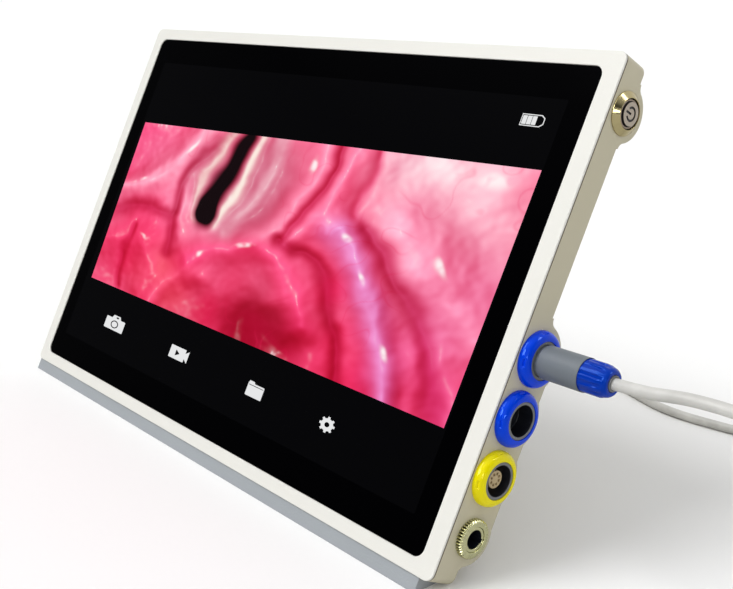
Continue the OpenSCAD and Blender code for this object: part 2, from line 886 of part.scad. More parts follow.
module stand_bail() {
    low = pivot_up - stand_l;
    color("lightgray") lean() difference() {
        union() {
            opened() {
                translate([0, 0, -bail_z - stand_t])
                    linear_extrude(stand_t)
                        difference() {
                            translate([0, (pivot_up + low) / 2 + bail_r])
                                rounded(stand_w, stand_l + 2 * bail_r, bail_r);
                            translate([0, (pivot_up + low) / 2 + bar_h / 2 + 2 * bail_r])
                                rounded(stand_w - 2 * leg_w, stand_l - bar_h + 4 * bail_r, bail_inner_r);
                            translate([-notch_w / 2, low + bar_h - notch_h])
                                square([notch_w, 2 * notch_h]);
                            translate([-stand_w, pivot_up - barrel_d / 4])
                                square([2 * stand_w, 4 * bail_r]);
                        }
                for (s = [-1, 1])
                    bar(s * bracket_x - leg_w / 2, s * bracket_x + leg_w / 2, barrel_d, pivot_up, pivot_z);
            }
            for (s = [-1, 1])
                translate([s * bracket_x - leg_w / 2, pivot_up, -stop_z - stop_t])
                    cube([leg_w, stop_l, stop_t]);
        }
        for (s = [-1, 1])
            bar(s * bracket_x - leg_w, s * bracket_x + leg_w, pin_d + 2 * pin_gap, pivot_up, pivot_z);
    }
}

module stand_foot() {
    low = pivot_up - stand_reach;
    color("dimgray") lean()
        intersection() {
            opened()
                translate([-foot_pad_w / 2, low - 2 * foot_pad_t, -bail_z - stand_t])
                    cube([foot_pad_w, 3 * foot_pad_t, stand_t]);
            rotate([lean_deg - 90, 0, 0])
                translate([-foot_pad_w, -hump_t, -table_drop])
                    cube([2 * foot_pad_w, body_h, body_h]);
        }
}

module foot_strip() {
    low = body_h / 2 + foot_drop;
    color("slategray") lean()
        along_x(-side_x + foot_in_left, side_x - foot_in_right)
            polygon([
                [-body_h / 2, -foot_front],
                [-low, -foot_front],
                [-body_h / 2 - foot_back_gap * u_y / u_z, -foot_back + foot_back_gap],
                [-body_h / 2, -foot_back + foot_back_gap]
            ]);
}

module button_housing() {
    color("tan") lean() difference() {
        turned(button_up, button_depth, [
            [barrel_back_x, 0],
            [barrel_back_x, button_barrel_d / 2],
            [side_x, button_barrel_d / 2],
            [side_x, button_head_d / 2],
            [side_x + button_flange_t, button_head_d / 2],
            [button_x, button_throat_d / 2 + button_lip_w],
            [button_x, 0]
        ]);
        bar(switch_x - fit_gap, button_x + cut, cap_d + 2 * cap_gap, button_up, button_depth);
        bar(light_ring_x - light_ring_l, button_x + cut, button_throat_d, button_up, button_depth);
        bar(barrel_back_x - cut, switch_x, switch_d + 2 * fit_gap, button_up, button_depth);
    }
}

module button_cap() {
    face_x = button_x + cap_proud;
    color("silver") lean() difference() {
        bar(face_x - cap_l, face_x, cap_d, button_up, button_depth);
        translate([face_x - symbol_deep, button_up, -button_depth])
            rotate([0, 90, 0])
                linear_extrude(symbol_deep + cut)
                    difference() {
                        circle(symbol_r + symbol_w / 2);
                        circle(symbol_r - symbol_w / 2);
                        polygon([
                            [0, 0],
                            2 * symbol_r * [-cos(symbol_gap_deg / 2), sin(symbol_gap_deg / 2)],
                            2 * symbol_r * [-cos(symbol_gap_deg / 2), -sin(symbol_gap_deg / 2)]
                        ]);
                    }
        translate([face_x - symbol_deep, button_up - symbol_w / 2, -button_depth])
            cube([symbol_deep + cut, symbol_w, symbol_r + symbol_w]);
    }
}

module button_light_ring() {
    color("black") lean() difference() {
        bar(light_ring_x - light_ring_l, light_ring_x, light_ring_d, button_up, button_depth);
        bar(light_ring_x - light_ring_l - cut, light_ring_x + cut, cap_d + 2 * cap_gap,
            button_up, button_depth);
    }
}

module button_nut() {
    color("silver") lean() difference() {
        bar(inner_x - button_nut_t, inner_x, button_nut_d, button_up, button_depth);
        bar(inner_x - button_nut_t - cut, inner_x + cut, button_barrel_d + 2 * fit_gap,
            button_up, button_depth);
    }
}

module button_switch() {
    color("black") lean()
        bar(switch_x - switch_l, switch_x - fit_gap, switch_d, button_up, button_depth);
}

// The coloured nut round a socket's mouth, with slots for its spanner
module socket_ring(y) {
    slot_out = ring_d / 2;
    ring_in = thread_d / 2 + fit_gap;
    difference() {
        turned(y, socket_depth, concat(
            [[side_x, ring_in], [side_x, ring_d / 2]],
            [for (p = arc(0, 0, ring_round_r, 0, 90, 6))
                [side_x + ring_proud - ring_round_r + p[1], ring_d / 2 - ring_round_r + p[0]]],
            [[side_x + ring_proud, ring_in]]
        ));
        for (i = [0:ring_slots - 1])
            translate([side_x, y, -socket_depth])
                rotate([ring_slot_deg + i * 360 / ring_slots, 0, 0])
                    translate([ring_proud / 2, -ring_slot_w / 2, slot_out - ring_slot_t])
                        cube([ring_proud, ring_slot_w, 2 * ring_slot_t]);
    }
}

// The grey socket body, threaded through the case's side and held by its ring
module socket_body(y) {
    shoulder_x = inner_x - seal_t;
    turned(y, socket_depth, [
        [socket_tail_x, insert_seat_d / 2],
        [socket_tail_x, thread_d / 2],
        [shoulder_x - shoulder_t, thread_d / 2],
        [shoulder_x - shoulder_t, shoulder_d / 2],
        [shoulder_x, shoulder_d / 2],
        [shoulder_x, thread_d / 2],
        [mouth_x, thread_d / 2],
        [mouth_x, socket_bore_d / 2],
        [bore_floor_x, socket_bore_d / 2],
        [bore_floor_x, insert_seat_d / 2]
    ]);
}

// Places of the contacts about a socket's axis
module at_contacts(y, r) {
    for (i = [0:pin_count - 1])
        translate([0, y, -socket_depth])
            rotate([i * 360 / pin_count, 0, 0])
                translate([0, 0, r])
                    children();
}

// An insulating insert whose face lies at face_x, on a post of diameter face_d
module contact_insert(y, face_x, face_d) {
    seat = insert_seat_d - 2 * fit_gap;
    hole_r = pin_circle_share * post_d / 2;
    difference() {
        union() {
            bar(insert_back_x, bore_floor_x, seat, y, socket_depth);
            bar(bore_floor_x - cut, face_x, min(face_d, seat), y, socket_depth);
        }
        at_contacts(y, hole_r)
            rotate([0, 90, 0])
                translate([0, 0, face_x - 3 * pin_hole_d])
                    cylinder(h = 3 * pin_hole_d + cut, d = pin_hole_d, $fn = 16);
    }
}

module video_ring_1() {
    color("royalblue") lean()
        socket_ring(video_1_y);
}

module video_socket_1() {
    color("gray") lean()
        socket_body(video_1_y);
}

module video_insert_1() {
    color("black") lean()
        contact_insert(video_1_y, bore_floor_x, insert_seat_d);
}

module video_ring_2() {
    color("royalblue") lean()
        socket_ring(video_2_y);
}

module video_socket_2() {
    color("gray") lean()
        socket_body(video_2_y);
}

module video_insert_2() {
    color("black") lean()
        contact_insert(video_2_y, bore_floor_x, insert_seat_d);
}

module data_ring() {
    color("gold") lean()
        socket_ring(data_y);
}

module data_socket() {
    color("gray") lean()
        socket_body(data_y);
}

module data_insert() {
    color("burlywood") lean()
        contact_insert(data_y, mouth_x - post_drop, post_d);
}

module socket_seals() {
    color("black") lean() {
        for (y = signal_ys)
            difference() {
                bar(inner_x - seal_t, inner_x, shoulder_d, y, socket_depth);
                bar(inner_x - seal_t - cut, inner_x + cut, thread_d + 2 * fit_gap, y, socket_depth);
            }
        difference() {
            bar(inner_x - seal_t, inner_x, power_shoulder_d, power_y, socket_depth);
            bar(inner_x - seal_t - cut, inner_x + cut, power_thread_d + 2 * fit_gap, power_y, socket_depth);
        }
    }
}

module socket_pins() {
    color("gold") lean()
        for (y = signal_ys)
            at_contacts(y, pin_circle_share * post_d / 2)
                rotate([0, 90, 0])
                    translate([0, 0, insert_back_x - tail_pin_l])
                        cylinder(h = tail_pin_l, d = tail_pin_d, $fn = 16);
}

module power_ring() {
    outer = power_ring_d / 2;
    inner = outer - knurl_t;
    step = 360 / knurl_count;
    half = step * knurl_flat_share / 2;
    outline = [for (i = [0:knurl_count - 1], k = [[-half, outer], [half, outer], [step / 2, inner]])
        [k[1] * cos(i * step + k[0]), k[1] * sin(i * step + k[0])]];
    color("darkkhaki") lean() difference() {
        intersection() {
            translate([side_x, power_y, -socket_depth])
                rotate([0, 90, 0])
                    linear_extrude(power_ring_proud)
                        polygon(outline);
            turned(power_y, socket_depth, [
                [side_x - cut, 0],
                [side_x - cut, power_ring_d],
                [side_x + power_ring_proud / 2, outer + power_chamfer],
                [side_x + power_ring_proud, outer - power_chamfer],
                [side_x + power_ring_proud, 0]
            ]);
        }
        bar(side_x - cut, side_x + 2 * power_ring_proud, power_thread_d + 2 * fit_gap,
            power_y, socket_depth);
    }
}

module power_socket() {
    shoulder_x = inner_x - seal_t;
    color("darkkhaki") lean() difference() {
        turned(power_y, socket_depth, [
            [power_tail_x, 0],
            [power_tail_x, power_tail_d / 2],
            [shoulder_x - shoulder_t, power_tail_d / 2],
            [shoulder_x - shoulder_t, power_shoulder_d / 2],
            [shoulder_x, power_shoulder_d / 2],
            [shoulder_x, power_thread_d / 2],
            [power_mouth_x, power_thread_d / 2],
            [power_mouth_x, power_bore_d / 2],
            [power_floor_x, power_bore_d / 2],
            [power_floor_x, 0]
        ]);
        translate([power_floor_x, power_y - key_w / 2, -socket_depth - power_bore_d / 2 - key_t / 2])
            cube([power_bore_l + cut, key_w, key_t]);
        for (s = [-1, 1])
            translate([
                power_tail_x - cut,
                power_y + s * power_bore_d / 4 - power_pad_w / 2,
                -socket_depth - pad_t
            ])
                cube([3 * cut, power_pad_w, 2 * pad_t]);
    }
}

module power_contacts() {
    color("gold") lean()
        for (s = [-1, 1])
            translate([
                power_tail_x + cut - power_pad_l,
                power_y + s * power_bore_d / 4 - power_pad_w / 2 + fit_gap,
                -socket_depth - pad_t + fit_gap
            ])
                cube([power_pad_l, power_pad_w - 2 * fit_gap, 2 * (pad_t - fit_gap)]);
}

module socket_looms() {
    loom_d = 3;
    board_edge = board_x + board_w / 2;
    turn_x = power_tail_x + cut - power_pad_l - loom_d / 2;
    color("white") lean() {
        for (y = signal_ys)
            bar(board_edge, insert_back_x - tail_pin_l, loom_d, y, socket_depth);
        translate([turn_x, power_y - loom_d / 2, -socket_depth])
            rotate([-90, 0, 0])
                cylinder(h = data_y - power_y + loom_d / 2, d = loom_d);
    }
}

module plug_core() {
    nut_thread = nut_bore_d - 2 * fit_gap;
    color("darkgray") lean()
        turned(plug_y, socket_depth, [
            [core_tip_x, 0],
            [core_tip_x, core_d / 2],
            [shell_pocket_x, core_d / 2],
            [shell_pocket_x, nut_thread / 2],
            [core_tail_x, nut_thread / 2],
            [core_tail_x, 0]
        ]);
}

module plug_pins() {
    color("gold") lean()
        at_contacts(plug_y, pin_circle_share * post_d / 2)
            rotate([0, 90, 0])
                translate([0, 0, core_tip_x - 2 * pin_hole_d])
                    cylinder(h = 2 * pin_hole_d, d = pin_hole_d - 4 * fit_gap, $fn = 16);
}

module plug_shell() {
    color("slategray") lean()
        turned(plug_y, socket_depth, [
            [mouth_x - nose_l, core_d / 2 + fit_gap],
            [mouth_x - nose_l, nose_d / 2],
            [shell_x - nose_step, nose_d / 2],
            [shell_x, shell_d / 2],
            [shell_end_x, shell_d / 2],
            [shell_end_x, nut_d / 2 + 2 * fit_gap],
            [shell_pocket_x, nut_d / 2 + 2 * fit_gap],
            [shell_pocket_x, core_d / 2 + fit_gap]
        ]);
}

module plug_nut() {
    rib_x = shell_end_x + release_travel + clear;
    color("royalblue") lean() difference() {
        turned(plug_y, socket_depth, [
            [nut_x, nut_bore_d / 2],
            [nut_x, nut_d / 2],
            [nut_end_x - nut_cone_l, nut_d / 2],
            [nut_end_x - nut_cone_l / 4, (nut_tip_d + nut_d) / 4],
            [nut_end_x, nut_tip_d / 2],
            [nut_end_x, collet_d / 2 + fit_gap],
            [core_tail_x, collet_d / 2 + fit_gap],
            [core_tail_x, nut_bore_d / 2]
        ]);
        for (i = [0:nut_ribs - 1])
            translate([rib_x, plug_y, -socket_depth])
                rotate([i * 360 / nut_ribs, 0, 0])
                    translate([0, -nut_rib_w / 2, nut_d / 2 - nut_rib_t])
                        cube([nut_l, nut_rib_w, nut_rib_t + cut]);
    }
}

module plug_collet() {
    color("gray") lean()
        turned(plug_y, socket_depth, [
            [core_tail_x, 0],
            [core_tail_x, collet_d / 2],
            [nut_end_x + collet_proud, collet_d / 2],
            [nut_end_x + collet_proud, cable_d / 2 + fit_gap],
            [cable_start_x, cable_d / 2 + fit_gap],
            [cable_start_x, 0]
        ]);
}

// A tube through the points p with n sides, its first and last rings square to the given directions
function unit(v) = v / norm(v);
function along(p, i, first, last) =
    i == 0 ? first : i == len(p) - 1 ? last : unit(p[i + 1] - p[i - 1]);
function ring_at(c, t, up, r, n) =
    let (side = unit(cross(t, up)), top = cross(side, t))
    [for (k = [0:n - 1]) c + r * (cos((k + 0.5) * 360 / n) * side + sin((k + 0.5) * 360 / n) * top)];
module tube(p, r, n, first, last, up) {
    m = len(p);
    points = [for (i = [0:m - 1]) each ring_at(p[i], along(p, i, first, last), up, r, n)];
    sides = [for (i = [0:m - 2], k = [0:n - 1]) each [
        [i * n + k, i * n + (k + 1) % n, (i + 1) * n + k],
        [i * n + (k + 1) % n, (i + 1) * n + (k + 1) % n, (i + 1) * n + k]
    ]];
    start = [for (k = [1:n - 2]) [0, k + 1, k]];
    end = [for (k = [1:n - 2]) [(m - 1) * n, (m - 1) * n + k, (m - 1) * n + k + 1]];
    polyhedron(points = points, faces = concat(start, sides, end));
}

// A smooth curve through the route's points, each stretch cut in two
function mid(a, b, c, d) = (9 * (b + c) - a - d) / 16;
function clamp_i(i, n) = max(0, min(n - 1, i));
function smoothed(p) = [for (i = [0:len(p) - 1]) each
    i == len(p) - 1 ? [p[i]]
    : [p[i], mid(p[clamp_i(i - 1, len(p))], p[i], p[i + 1], p[clamp_i(i + 2, len(p))])]];

// Where the cable leaves the plug, in the frame of the whole part
function leaned(x, y, depth) =
    [x + shift_x, y * u_y + depth * u_z + shift_y, y * u_z - depth * u_y + table_drop];
cable_start = leaned(cable_start_x, plug_y, socket_depth);
cable_mouth = leaned(nut_end_x + collet_proud, plug_y, socket_depth);

// The coil: it winds in along the lower layer, climbs, and winds out along the upper one
coil_step = cable_d + coil_gap;
coil_out_r = coil_mid_d / 2 + coil_turns * coil_step / 2;
coil_lift = 1.5;
coil_z = cable_d / 2 + coil_lift;
layer_h = cable_d + coil_gap;
climb_share = 0.5;
mid_turn = coil_turns + climb_share / 2;
coil_loops = 2 * mid_turn;
coil_in_r = coil_out_r - mid_turn * coil_step;
coil_entry = [-16, 134];
coil_x = coil_entry[0];
coil_y = coil_entry[1] - coil_out_r;
function coil_radius(turn) = coil_in_r + coil_step * abs(turn - mid_turn);
function ease(s) = s * s * (3 - 2 * s);
function coil_height(turn) =
    coil_z + layer_h * ease(max(0, min(1, (turn - coil_turns) / climb_share)));
function coil_point(turn) = [
    coil_x - coil_radius(turn) * sin(360 * turn),
    coil_y + coil_radius(turn) * cos(360 * turn),
    coil_height(turn)
];
coil_count = floor(coil_loops * coil_steps);
coil_end_y = coil_y - coil_out_r;
coil_top_z = coil_z + layer_h;
coil_path = concat(
    [[coil_x + cable_d, coil_entry[1], coil_z]],
    [for (i = [0:coil_count]) coil_point(i / coil_steps)],
    [[coil_x + cable_d, coil_end_y, coil_top_z]]
);
// Least gap between stretches of the coil that lie at least half a turn apart
coil_least_gap = min([for (i = [0:len(coil_path) - 1], j = [i + coil_steps / 2:1:len(coil_path) - 1])
    norm(coil_path[i] - coil_path[j])]) - cable_d;
echo(coil_least_gap = coil_least_gap);
cable_route = concat(
    [cable_start, cable_mouth],
    smoothed(concat(route, [[coil_x + 2 * cable_d, coil_entry[1], coil_z]])),
    [[coil_x + cable_d, coil_entry[1], coil_z]]
);
function length_of(p) = len(p) < 2 ? 0 : sum_of([for (i = [0:len(p) - 2]) norm(p[i + 1] - p[i])]);
function sum_of(v) = v * [for (x = v) 1];
echo(cable_length = length_of(cable_route), coil_length = length_of(coil_path), points = len(cable_route));

module video_cable() {
    color("gainsboro")
        tube(cable_route, cable_d / 2, cable_sides, [1, 0, 0], [-1, 0, 0], [0, 0, 1]);
}

module cable_coil() {
    color("gainsboro")
        tube(coil_path, cable_d / 2, coil_sides, [-1, 0, 0], [1, 0, 0], [0, 0, 1]);
}

module cable_tie() {
    tie_t = 0.8;
    tie_w = 4;
    bundle_w = coil_turns * coil_step + cable_d;
    bundle_h = layer_h + cable_d;
    tie_r = cable_d / 2;
    color("dimgray")
        translate([
            coil_x - coil_in_r - coil_turns * coil_step / 2,
            coil_y + tie_w / 2,
            coil_z + layer_h / 2
        ])
            rotate([90, 0, 0])
                linear_extrude(tie_w)
                    difference() {
                        rounded(bundle_w + 2 * (clear + tie_t), bundle_h + 2 * (clear + tie_t),
                            tie_r + tie_t);
                        rounded(bundle_w + 2 * clear, bundle_h + 2 * clear, tie_r);
                    }
}

// The connector at the far end, lying on the table beside the coil
handle_gap = 0.3;
handle_plug_d = 2 * coil_top_z - handle_gap;
handle_wall = 1.2;
handle_boot_l = 16;
handle_plug_l = 26;
handle_floor_l = 16;
handle_lip_l = 1.2;
handle_grip_l = 9;
handle_step = 0.8;
handle_x = coil_x + cable_d;
boot_tip_share = 0.75;

// A turned shape along the far connector's axis: its profile gives distance and radius
module handle_turned(profile) {
    translate([handle_x, coil_end_y, coil_top_z])
        rotate([0, 90, 0])
            rotate_extrude()
                polygon([for (p = profile) [p[1], p[0]]]);
}

module handle_plug_boot() {
    wide = boot_tip_share * handle_plug_d / 2;
    slim = cable_d / 2 + 2 * clear;
    ribs = 5;
    rib = handle_boot_l / (2 * ribs + 1);
    color("slategray")
        handle_turned(concat(
            [[0, 0], [0, slim]],
            [for (i = [0:ribs - 1]) each [
                [(2 * i + 1) * rib, slim + (wide - slim) * (2 * i + 1) / (2 * ribs + 1)],
                [(2 * i + 1) * rib, slim + (wide - slim) * (2 * i + 1) / (2 * ribs + 1) - clear],
                [(2 * i + 2) * rib, slim + (wide - slim) * (2 * i + 2) / (2 * ribs + 1) - clear],
                [(2 * i + 2) * rib, slim + (wide - slim) * (2 * i + 2) / (2 * ribs + 1)]
            ]],
            [[handle_boot_l, wide], [handle_boot_l, 0]]
        ));
}

module handle_plug() {
    outer = handle_plug_d / 2;
    bore = outer - 2 * handle_wall;
    x0 = handle_boot_l;
    x1 = handle_boot_l + handle_plug_l;
    color("slategray")
        handle_turned([
            [x0, 0],
            [x0, outer - handle_step],
            [x0 + handle_lip_l, outer],
            [x0 + handle_grip_l, outer],
            [x0 + handle_grip_l + handle_step, outer - handle_step],
            [x1 - handle_lip_l - handle_step, outer - handle_step],
            [x1 - handle_lip_l, outer],
            [x1, outer],
            [x1, bore],
            [x0 + handle_floor_l, bore],
            [x0 + handle_floor_l, 0]
        ]);
}

module handle_contacts() {
    bore = handle_plug_d / 2 - 2 * handle_wall;
    x0 = handle_boot_l + handle_floor_l;
    color("gold") {
        handle_turned([
            [x0, 0],
            [x0, bore],
            [x0 + handle_lip_l, bore],
            [x0 + handle_lip_l, 0]
        ]);
        for (i = [0:pin_count - 1])
            translate([handle_x, coil_end_y, coil_top_z])
                rotate([i * 360 / pin_count, 0, 0])
                    translate([x0, 0, pin_circle_share * bore])
                        rotate([0, 90, 0])
                            cylinder(h = tail_pin_l, d = tail_pin_d, $fn = 16);
    }
}

front_bezel();
cover_glass();
glass_gasket();
display_panel();
display_pan();
display_pads();
chassis_plate();
rear_housing();
main_board();
board_standoffs();
board_screws();
board_chips();
shield_can();
battery_pack();
speaker();
case_screws();
mount_inserts();
label_plate();
hinge_brackets();
bracket_screws();
hinge_pins();
stand_bail();
stand_foot();
foot_strip();
button_housing();
button_cap();
button_light_ring();
button_nut();
button_switch();
video_ring_1();
video_socket_1();
video_insert_1();
video_ring_2();
video_socket_2();
video_insert_2();
data_ring();
data_socket();
data_insert();
socket_seals();
socket_pins();
power_ring();
power_socket();
power_contacts();
socket_looms();
plug_core();
plug_pins();
plug_shell();
plug_nut();
plug_collet();
video_cable();
cable_coil();
cable_tie();
handle_plug();
handle_plug_boot();
handle_contacts();
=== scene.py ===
# %% [markdown]
# # A leaning monitor with round sockets, a folding stand and a cable
#
# The solid model comes from a CAD program and stays as it is. This lesson dresses it: it
# gives each solid a finish, replaces the turned pieces by smoother ones, lays the cable,
# lights the screen, and sets the camera and the lamps.

# %% Load the solid model
import math

import bmesh
import bpy
import numpy as np
from mathutils import Matrix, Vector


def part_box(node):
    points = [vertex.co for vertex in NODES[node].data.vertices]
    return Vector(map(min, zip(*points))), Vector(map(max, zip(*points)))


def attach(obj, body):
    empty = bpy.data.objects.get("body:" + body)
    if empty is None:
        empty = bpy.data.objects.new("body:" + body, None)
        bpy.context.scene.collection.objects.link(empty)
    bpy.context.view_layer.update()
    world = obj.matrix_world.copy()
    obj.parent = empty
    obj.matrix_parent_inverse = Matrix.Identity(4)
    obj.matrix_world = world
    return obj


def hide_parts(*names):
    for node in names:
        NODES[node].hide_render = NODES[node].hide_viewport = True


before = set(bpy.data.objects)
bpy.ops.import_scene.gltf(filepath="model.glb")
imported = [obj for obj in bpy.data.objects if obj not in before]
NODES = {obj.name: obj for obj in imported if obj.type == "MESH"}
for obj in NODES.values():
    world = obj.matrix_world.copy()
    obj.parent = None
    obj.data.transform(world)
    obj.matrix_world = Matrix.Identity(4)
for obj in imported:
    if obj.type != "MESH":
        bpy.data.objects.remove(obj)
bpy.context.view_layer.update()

# %% [markdown]
# ## The monitor's own frame
#
# Everything on the monitor was measured on its front: x to the right, y up along the glass
# and z out of the glass, in millimetres. The monitor leans back by 27 degrees, so one
# function turns such points into the upright frame of the scene, in metres. The place of
# the frame is read from two solids, so nothing has to be typed twice.

# %% From the monitor's millimetres to the scene's metres
MM = 1000.0
LEAN = math.radians(27)
UP_Y, UP_Z = math.sin(LEAN), math.cos(LEAN)
BUTTON_Y, BUTTON_Z = 66.4, -8.4


def middle(name):
    """Middle of a solid's box, in millimetres."""
    low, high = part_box(name)
    return (np.array(low) + np.array(high)) / 2 * MM


cap_middle = middle("button_cap")
SHIFT = np.array([
    middle("cover_glass")[0],
    cap_middle[1] - BUTTON_Y * UP_Y + BUTTON_Z * UP_Z,
    cap_middle[2] - BUTTON_Y * UP_Z - BUTTON_Z * UP_Y,
])


def lean(points):
    """Points of the monitor's frame in mm, turned about x by the lean, moved, and put in metres."""
    p = np.asarray(points, float)
    x, y, z = p[..., 0], p[..., 1], p[..., 2]
    out = np.stack([x, y * UP_Y - z * UP_Z, y * UP_Z + z * UP_Y], axis=-1)
    return (out + SHIFT) / MM


print("frame sits at", SHIFT.round(2), "mm")

# %% [markdown]
# ## The camera
#
# The view looks at the screen from the right and from above. Place and aim were worked out
# from the corners of the glass. The three rows below are the camera's right, down and
# forward directions, written in the monitor's frame.

# %% Set the camera
def placed(name, data):
    """A new object of that name, put into the scene."""
    made = bpy.data.objects.new(name, data)
    bpy.context.collection.objects.link(made)
    return made


AIM = np.array([
    [0.6401, 0.3488, -0.6845],
    [0.2484, -0.9371, -0.2453],
    [-0.7270, -0.0130, -0.6865],
])
EYE_MM = (323.5, -24.2, 242.9)
FOCAL_PX, IMAGE_W, IMAGE_H = 1060.2, 733, 589
CENTRE_PX = (348.4, 355.5)

turn = np.array([[1, 0, 0], [0, UP_Y, -UP_Z], [0, UP_Z, UP_Y]])
right, down, forward = AIM @ turn.T
camera_data = bpy.data.cameras.new("camera")
camera = placed("camera", camera_data)
eye = lean(EYE_MM)
matrix = np.eye(4)
matrix[:3, 0], matrix[:3, 1], matrix[:3, 2], matrix[:3, 3] = right, -down, -forward, eye
camera.matrix_world = Matrix(matrix.tolist())
camera_data.sensor_width = 36.0
camera_data.lens = FOCAL_PX / IMAGE_W * camera_data.sensor_width
camera_data.shift_x = (IMAGE_W / 2 - CENTRE_PX[0]) / IMAGE_W
camera_data.shift_y = (CENTRE_PX[1] - IMAGE_H / 2) / IMAGE_W
camera_data.clip_start = 0.01
bpy.context.scene.camera = camera
print("camera at", eye.round(4), "lens", round(camera_data.lens, 2), "mm")

# %% [markdown]
# ## The cable's line
#
# The cable is 3.6 mm thick and about 1.5 m long, as such cables usually are; the picture shows
# two strands of it. It leaves the plug, sags to the table, comes back behind the monitor and
# is wound there into a flat coil of two layers. The route's points are given in mm, in the scene's
# own frame, and repeat those of the solid cable. Midpoints by a four-point rule make them a smooth
# curve, and the coil comes from a formula. A curve object could carry the line too, but plain
# points can also give its length.

# %% The route and the coil
CABLE_D = 3.6
ROUTE = [
    (170, -11.2, 65.2), (180, -9.8, 66.2), (192, -7.6, 65.8), (204, -4.8, 63.6), (216, -1.4, 59.2),
    (227, 2.6, 52.6), (237, 7, 44), (245, 12, 34.4), (251, 17.4, 24.6), (255, 23.4, 15.4),
    (257.4, 30, 8), (258, 38.4, 3.4), (257, 48, 1.9), (254, 58, 1.9), (248, 69, 1.9), (240, 79, 1.9),
    (230, 88.6, 1.9), (218, 98, 1.9), (205, 106.6, 1.9), (191, 114, 1.9), (176, 120, 1.9),
    (161, 124, 1.9), (146, 126, 1.9), (132, 126, 1.9), (118, 124.4, 1.9), (106, 122.8, 1.9),
    (95, 122.4, 1.9), (84, 124, 1.9), (73, 127.6, 1.9), (62, 131.2, 1.9), (49, 133.6, 1.9),
    (34, 134.4, 1.9), (19, 134.2, 2.2), (4, 134, 2.8),
]
COIL_GAP, COIL_MID_D, COIL_TURNS = 0.6, 42.0, 4
COIL_STEP = CABLE_D + COIL_GAP
COIL_OUT_R = COIL_MID_D / 2 + COIL_TURNS * COIL_STEP / 2
MID_TURN = COIL_TURNS + 0.25
COIL_IN_R = COIL_OUT_R - MID_TURN * COIL_STEP
COIL_X, COIL_ENTRY_Y = -16.0, 134.0
COIL_Y = COIL_ENTRY_Y - COIL_OUT_R
COIL_Z = CABLE_D / 2 + 1.5


def between(p):
    """Doubles the points of a line: each new one is 9/16 of its two neighbours less 1/16 of the next two."""
    q = np.concatenate([p[:1], p, p[-1:]])
    mids = (9 * (q[1:-2] + q[2:-1]) - q[:-3] - q[3:]) / 16
    out = np.empty((2 * len(p) - 1, p.shape[1]))
    out[0::2], out[1::2] = p, mids
    return out


def coil_line(turns):
    """Circle whose radius falls to the middle turn and grows again, one step a turn, and whose
    height climbs one layer, eased, in the half turn round the middle."""
    r = COIL_IN_R + COIL_STEP * np.abs(turns - MID_TURN)
    s = np.clip((turns - COIL_TURNS) / 0.5, 0, 1)
    z = COIL_Z + COIL_STEP * s * s * (3 - 2 * s)
    a = 2 * math.pi * turns
    return np.stack([COIL_X - r * np.sin(a), COIL_Y + r * np.cos(a), z], axis=-1)


plug_axis = middle("plug_collet")
mouth = np.array([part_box("plug_collet")[1][0] * MM, plug_axis[1], plug_axis[2]])
start = mouth - [3.6, 0, 0]
free = between(between(np.array([start, mouth, *ROUTE, (COIL_X + 2 * CABLE_D, COIL_ENTRY_Y, COIL_Z)])))
wound = coil_line(np.linspace(0, 2 * MID_TURN, int(2 * MID_TURN * 40) + 1))
coil_end_y = COIL_Y - COIL_OUT_R
top_z = COIL_Z + COIL_STEP
line = np.concatenate([
    free, [(COIL_X + CABLE_D, COIL_ENTRY_Y, COIL_Z)], wound, [(COIL_X + CABLE_D, coil_end_y, top_z)],
])

# %% [markdown]
# ## Helpers for colours, nodes and surfaces
#
# Colours are written as on a web page, in hex, and turned to linear light once, here. One
# helper adds any shader node with its settings and its links. One helper turns a grid of
# points into a mesh; every new piece below is such a grid, worked out as a whole array.

# %% Colours and shader nodes
def linear(code):
    """sRGB hex to linear light: c / 12.92 below 0.04045, else ((c + 0.055) / 1.055) to the power 2.4."""
    c = np.array([int(code[i:i + 2], 16) for i in (1, 3, 5)]) / 255.0
    out = np.where(c <= 0.04045, c / 12.92, ((c + 0.055) / 1.055) ** 2.4)
    return (*out.tolist(), 1.0)


def join(node, links):
    """Links outputs to a node's sockets. A node in place of an output stands for its first one."""
    for key, source in links.items():
        output = source if isinstance(source, bpy.types.NodeSocket) else source.outputs[0]
        node.id_data.links.new(output, node.inputs[key])


def add(tree, kind, settings=None, links=None):
    """Adds a shader node. Settings go to the socket or the option of that name, links to sockets."""
    made = tree.nodes.new(kind)
    for key, value in (settings or {}).items():
        if isinstance(key, str) and not isinstance(made.inputs.get(key), bpy.types.NodeSocket):
            setattr(made, key, value)
        else:
            made.inputs[key].default_value = value
    join(made, links or {})
    return made


def finish_called(name, colour, **settings):
    """A new material with one Principled shader: a colour in hex and any of its sockets by name."""
    made = bpy.data.materials.new(name)
    made.use_nodes = True
    tree = made.node_tree
    tree.nodes.clear()
    sockets = {key.replace("_", " "): value for key, value in settings.items()}
    shader = add(tree, "ShaderNodeBsdfPrincipled", {"Base Color": linear(colour), **sockets})
    add(tree, "ShaderNodeOutputMaterial", links={"Surface": shader})
    return made, tree, shader


def shader_of(coat):
    """The one Principled shader of a material."""
    return next(node for node in coat.node_tree.nodes if node.type == "BSDF_PRINCIPLED")


def recoat(node, coat):
    """Gives all material slots of a carried-over solid the same finish."""
    for slot in NODES[node].material_slots:
        slot.material = coat


print("a mid grey in linear light:", round(linear("#808080")[0], 3))

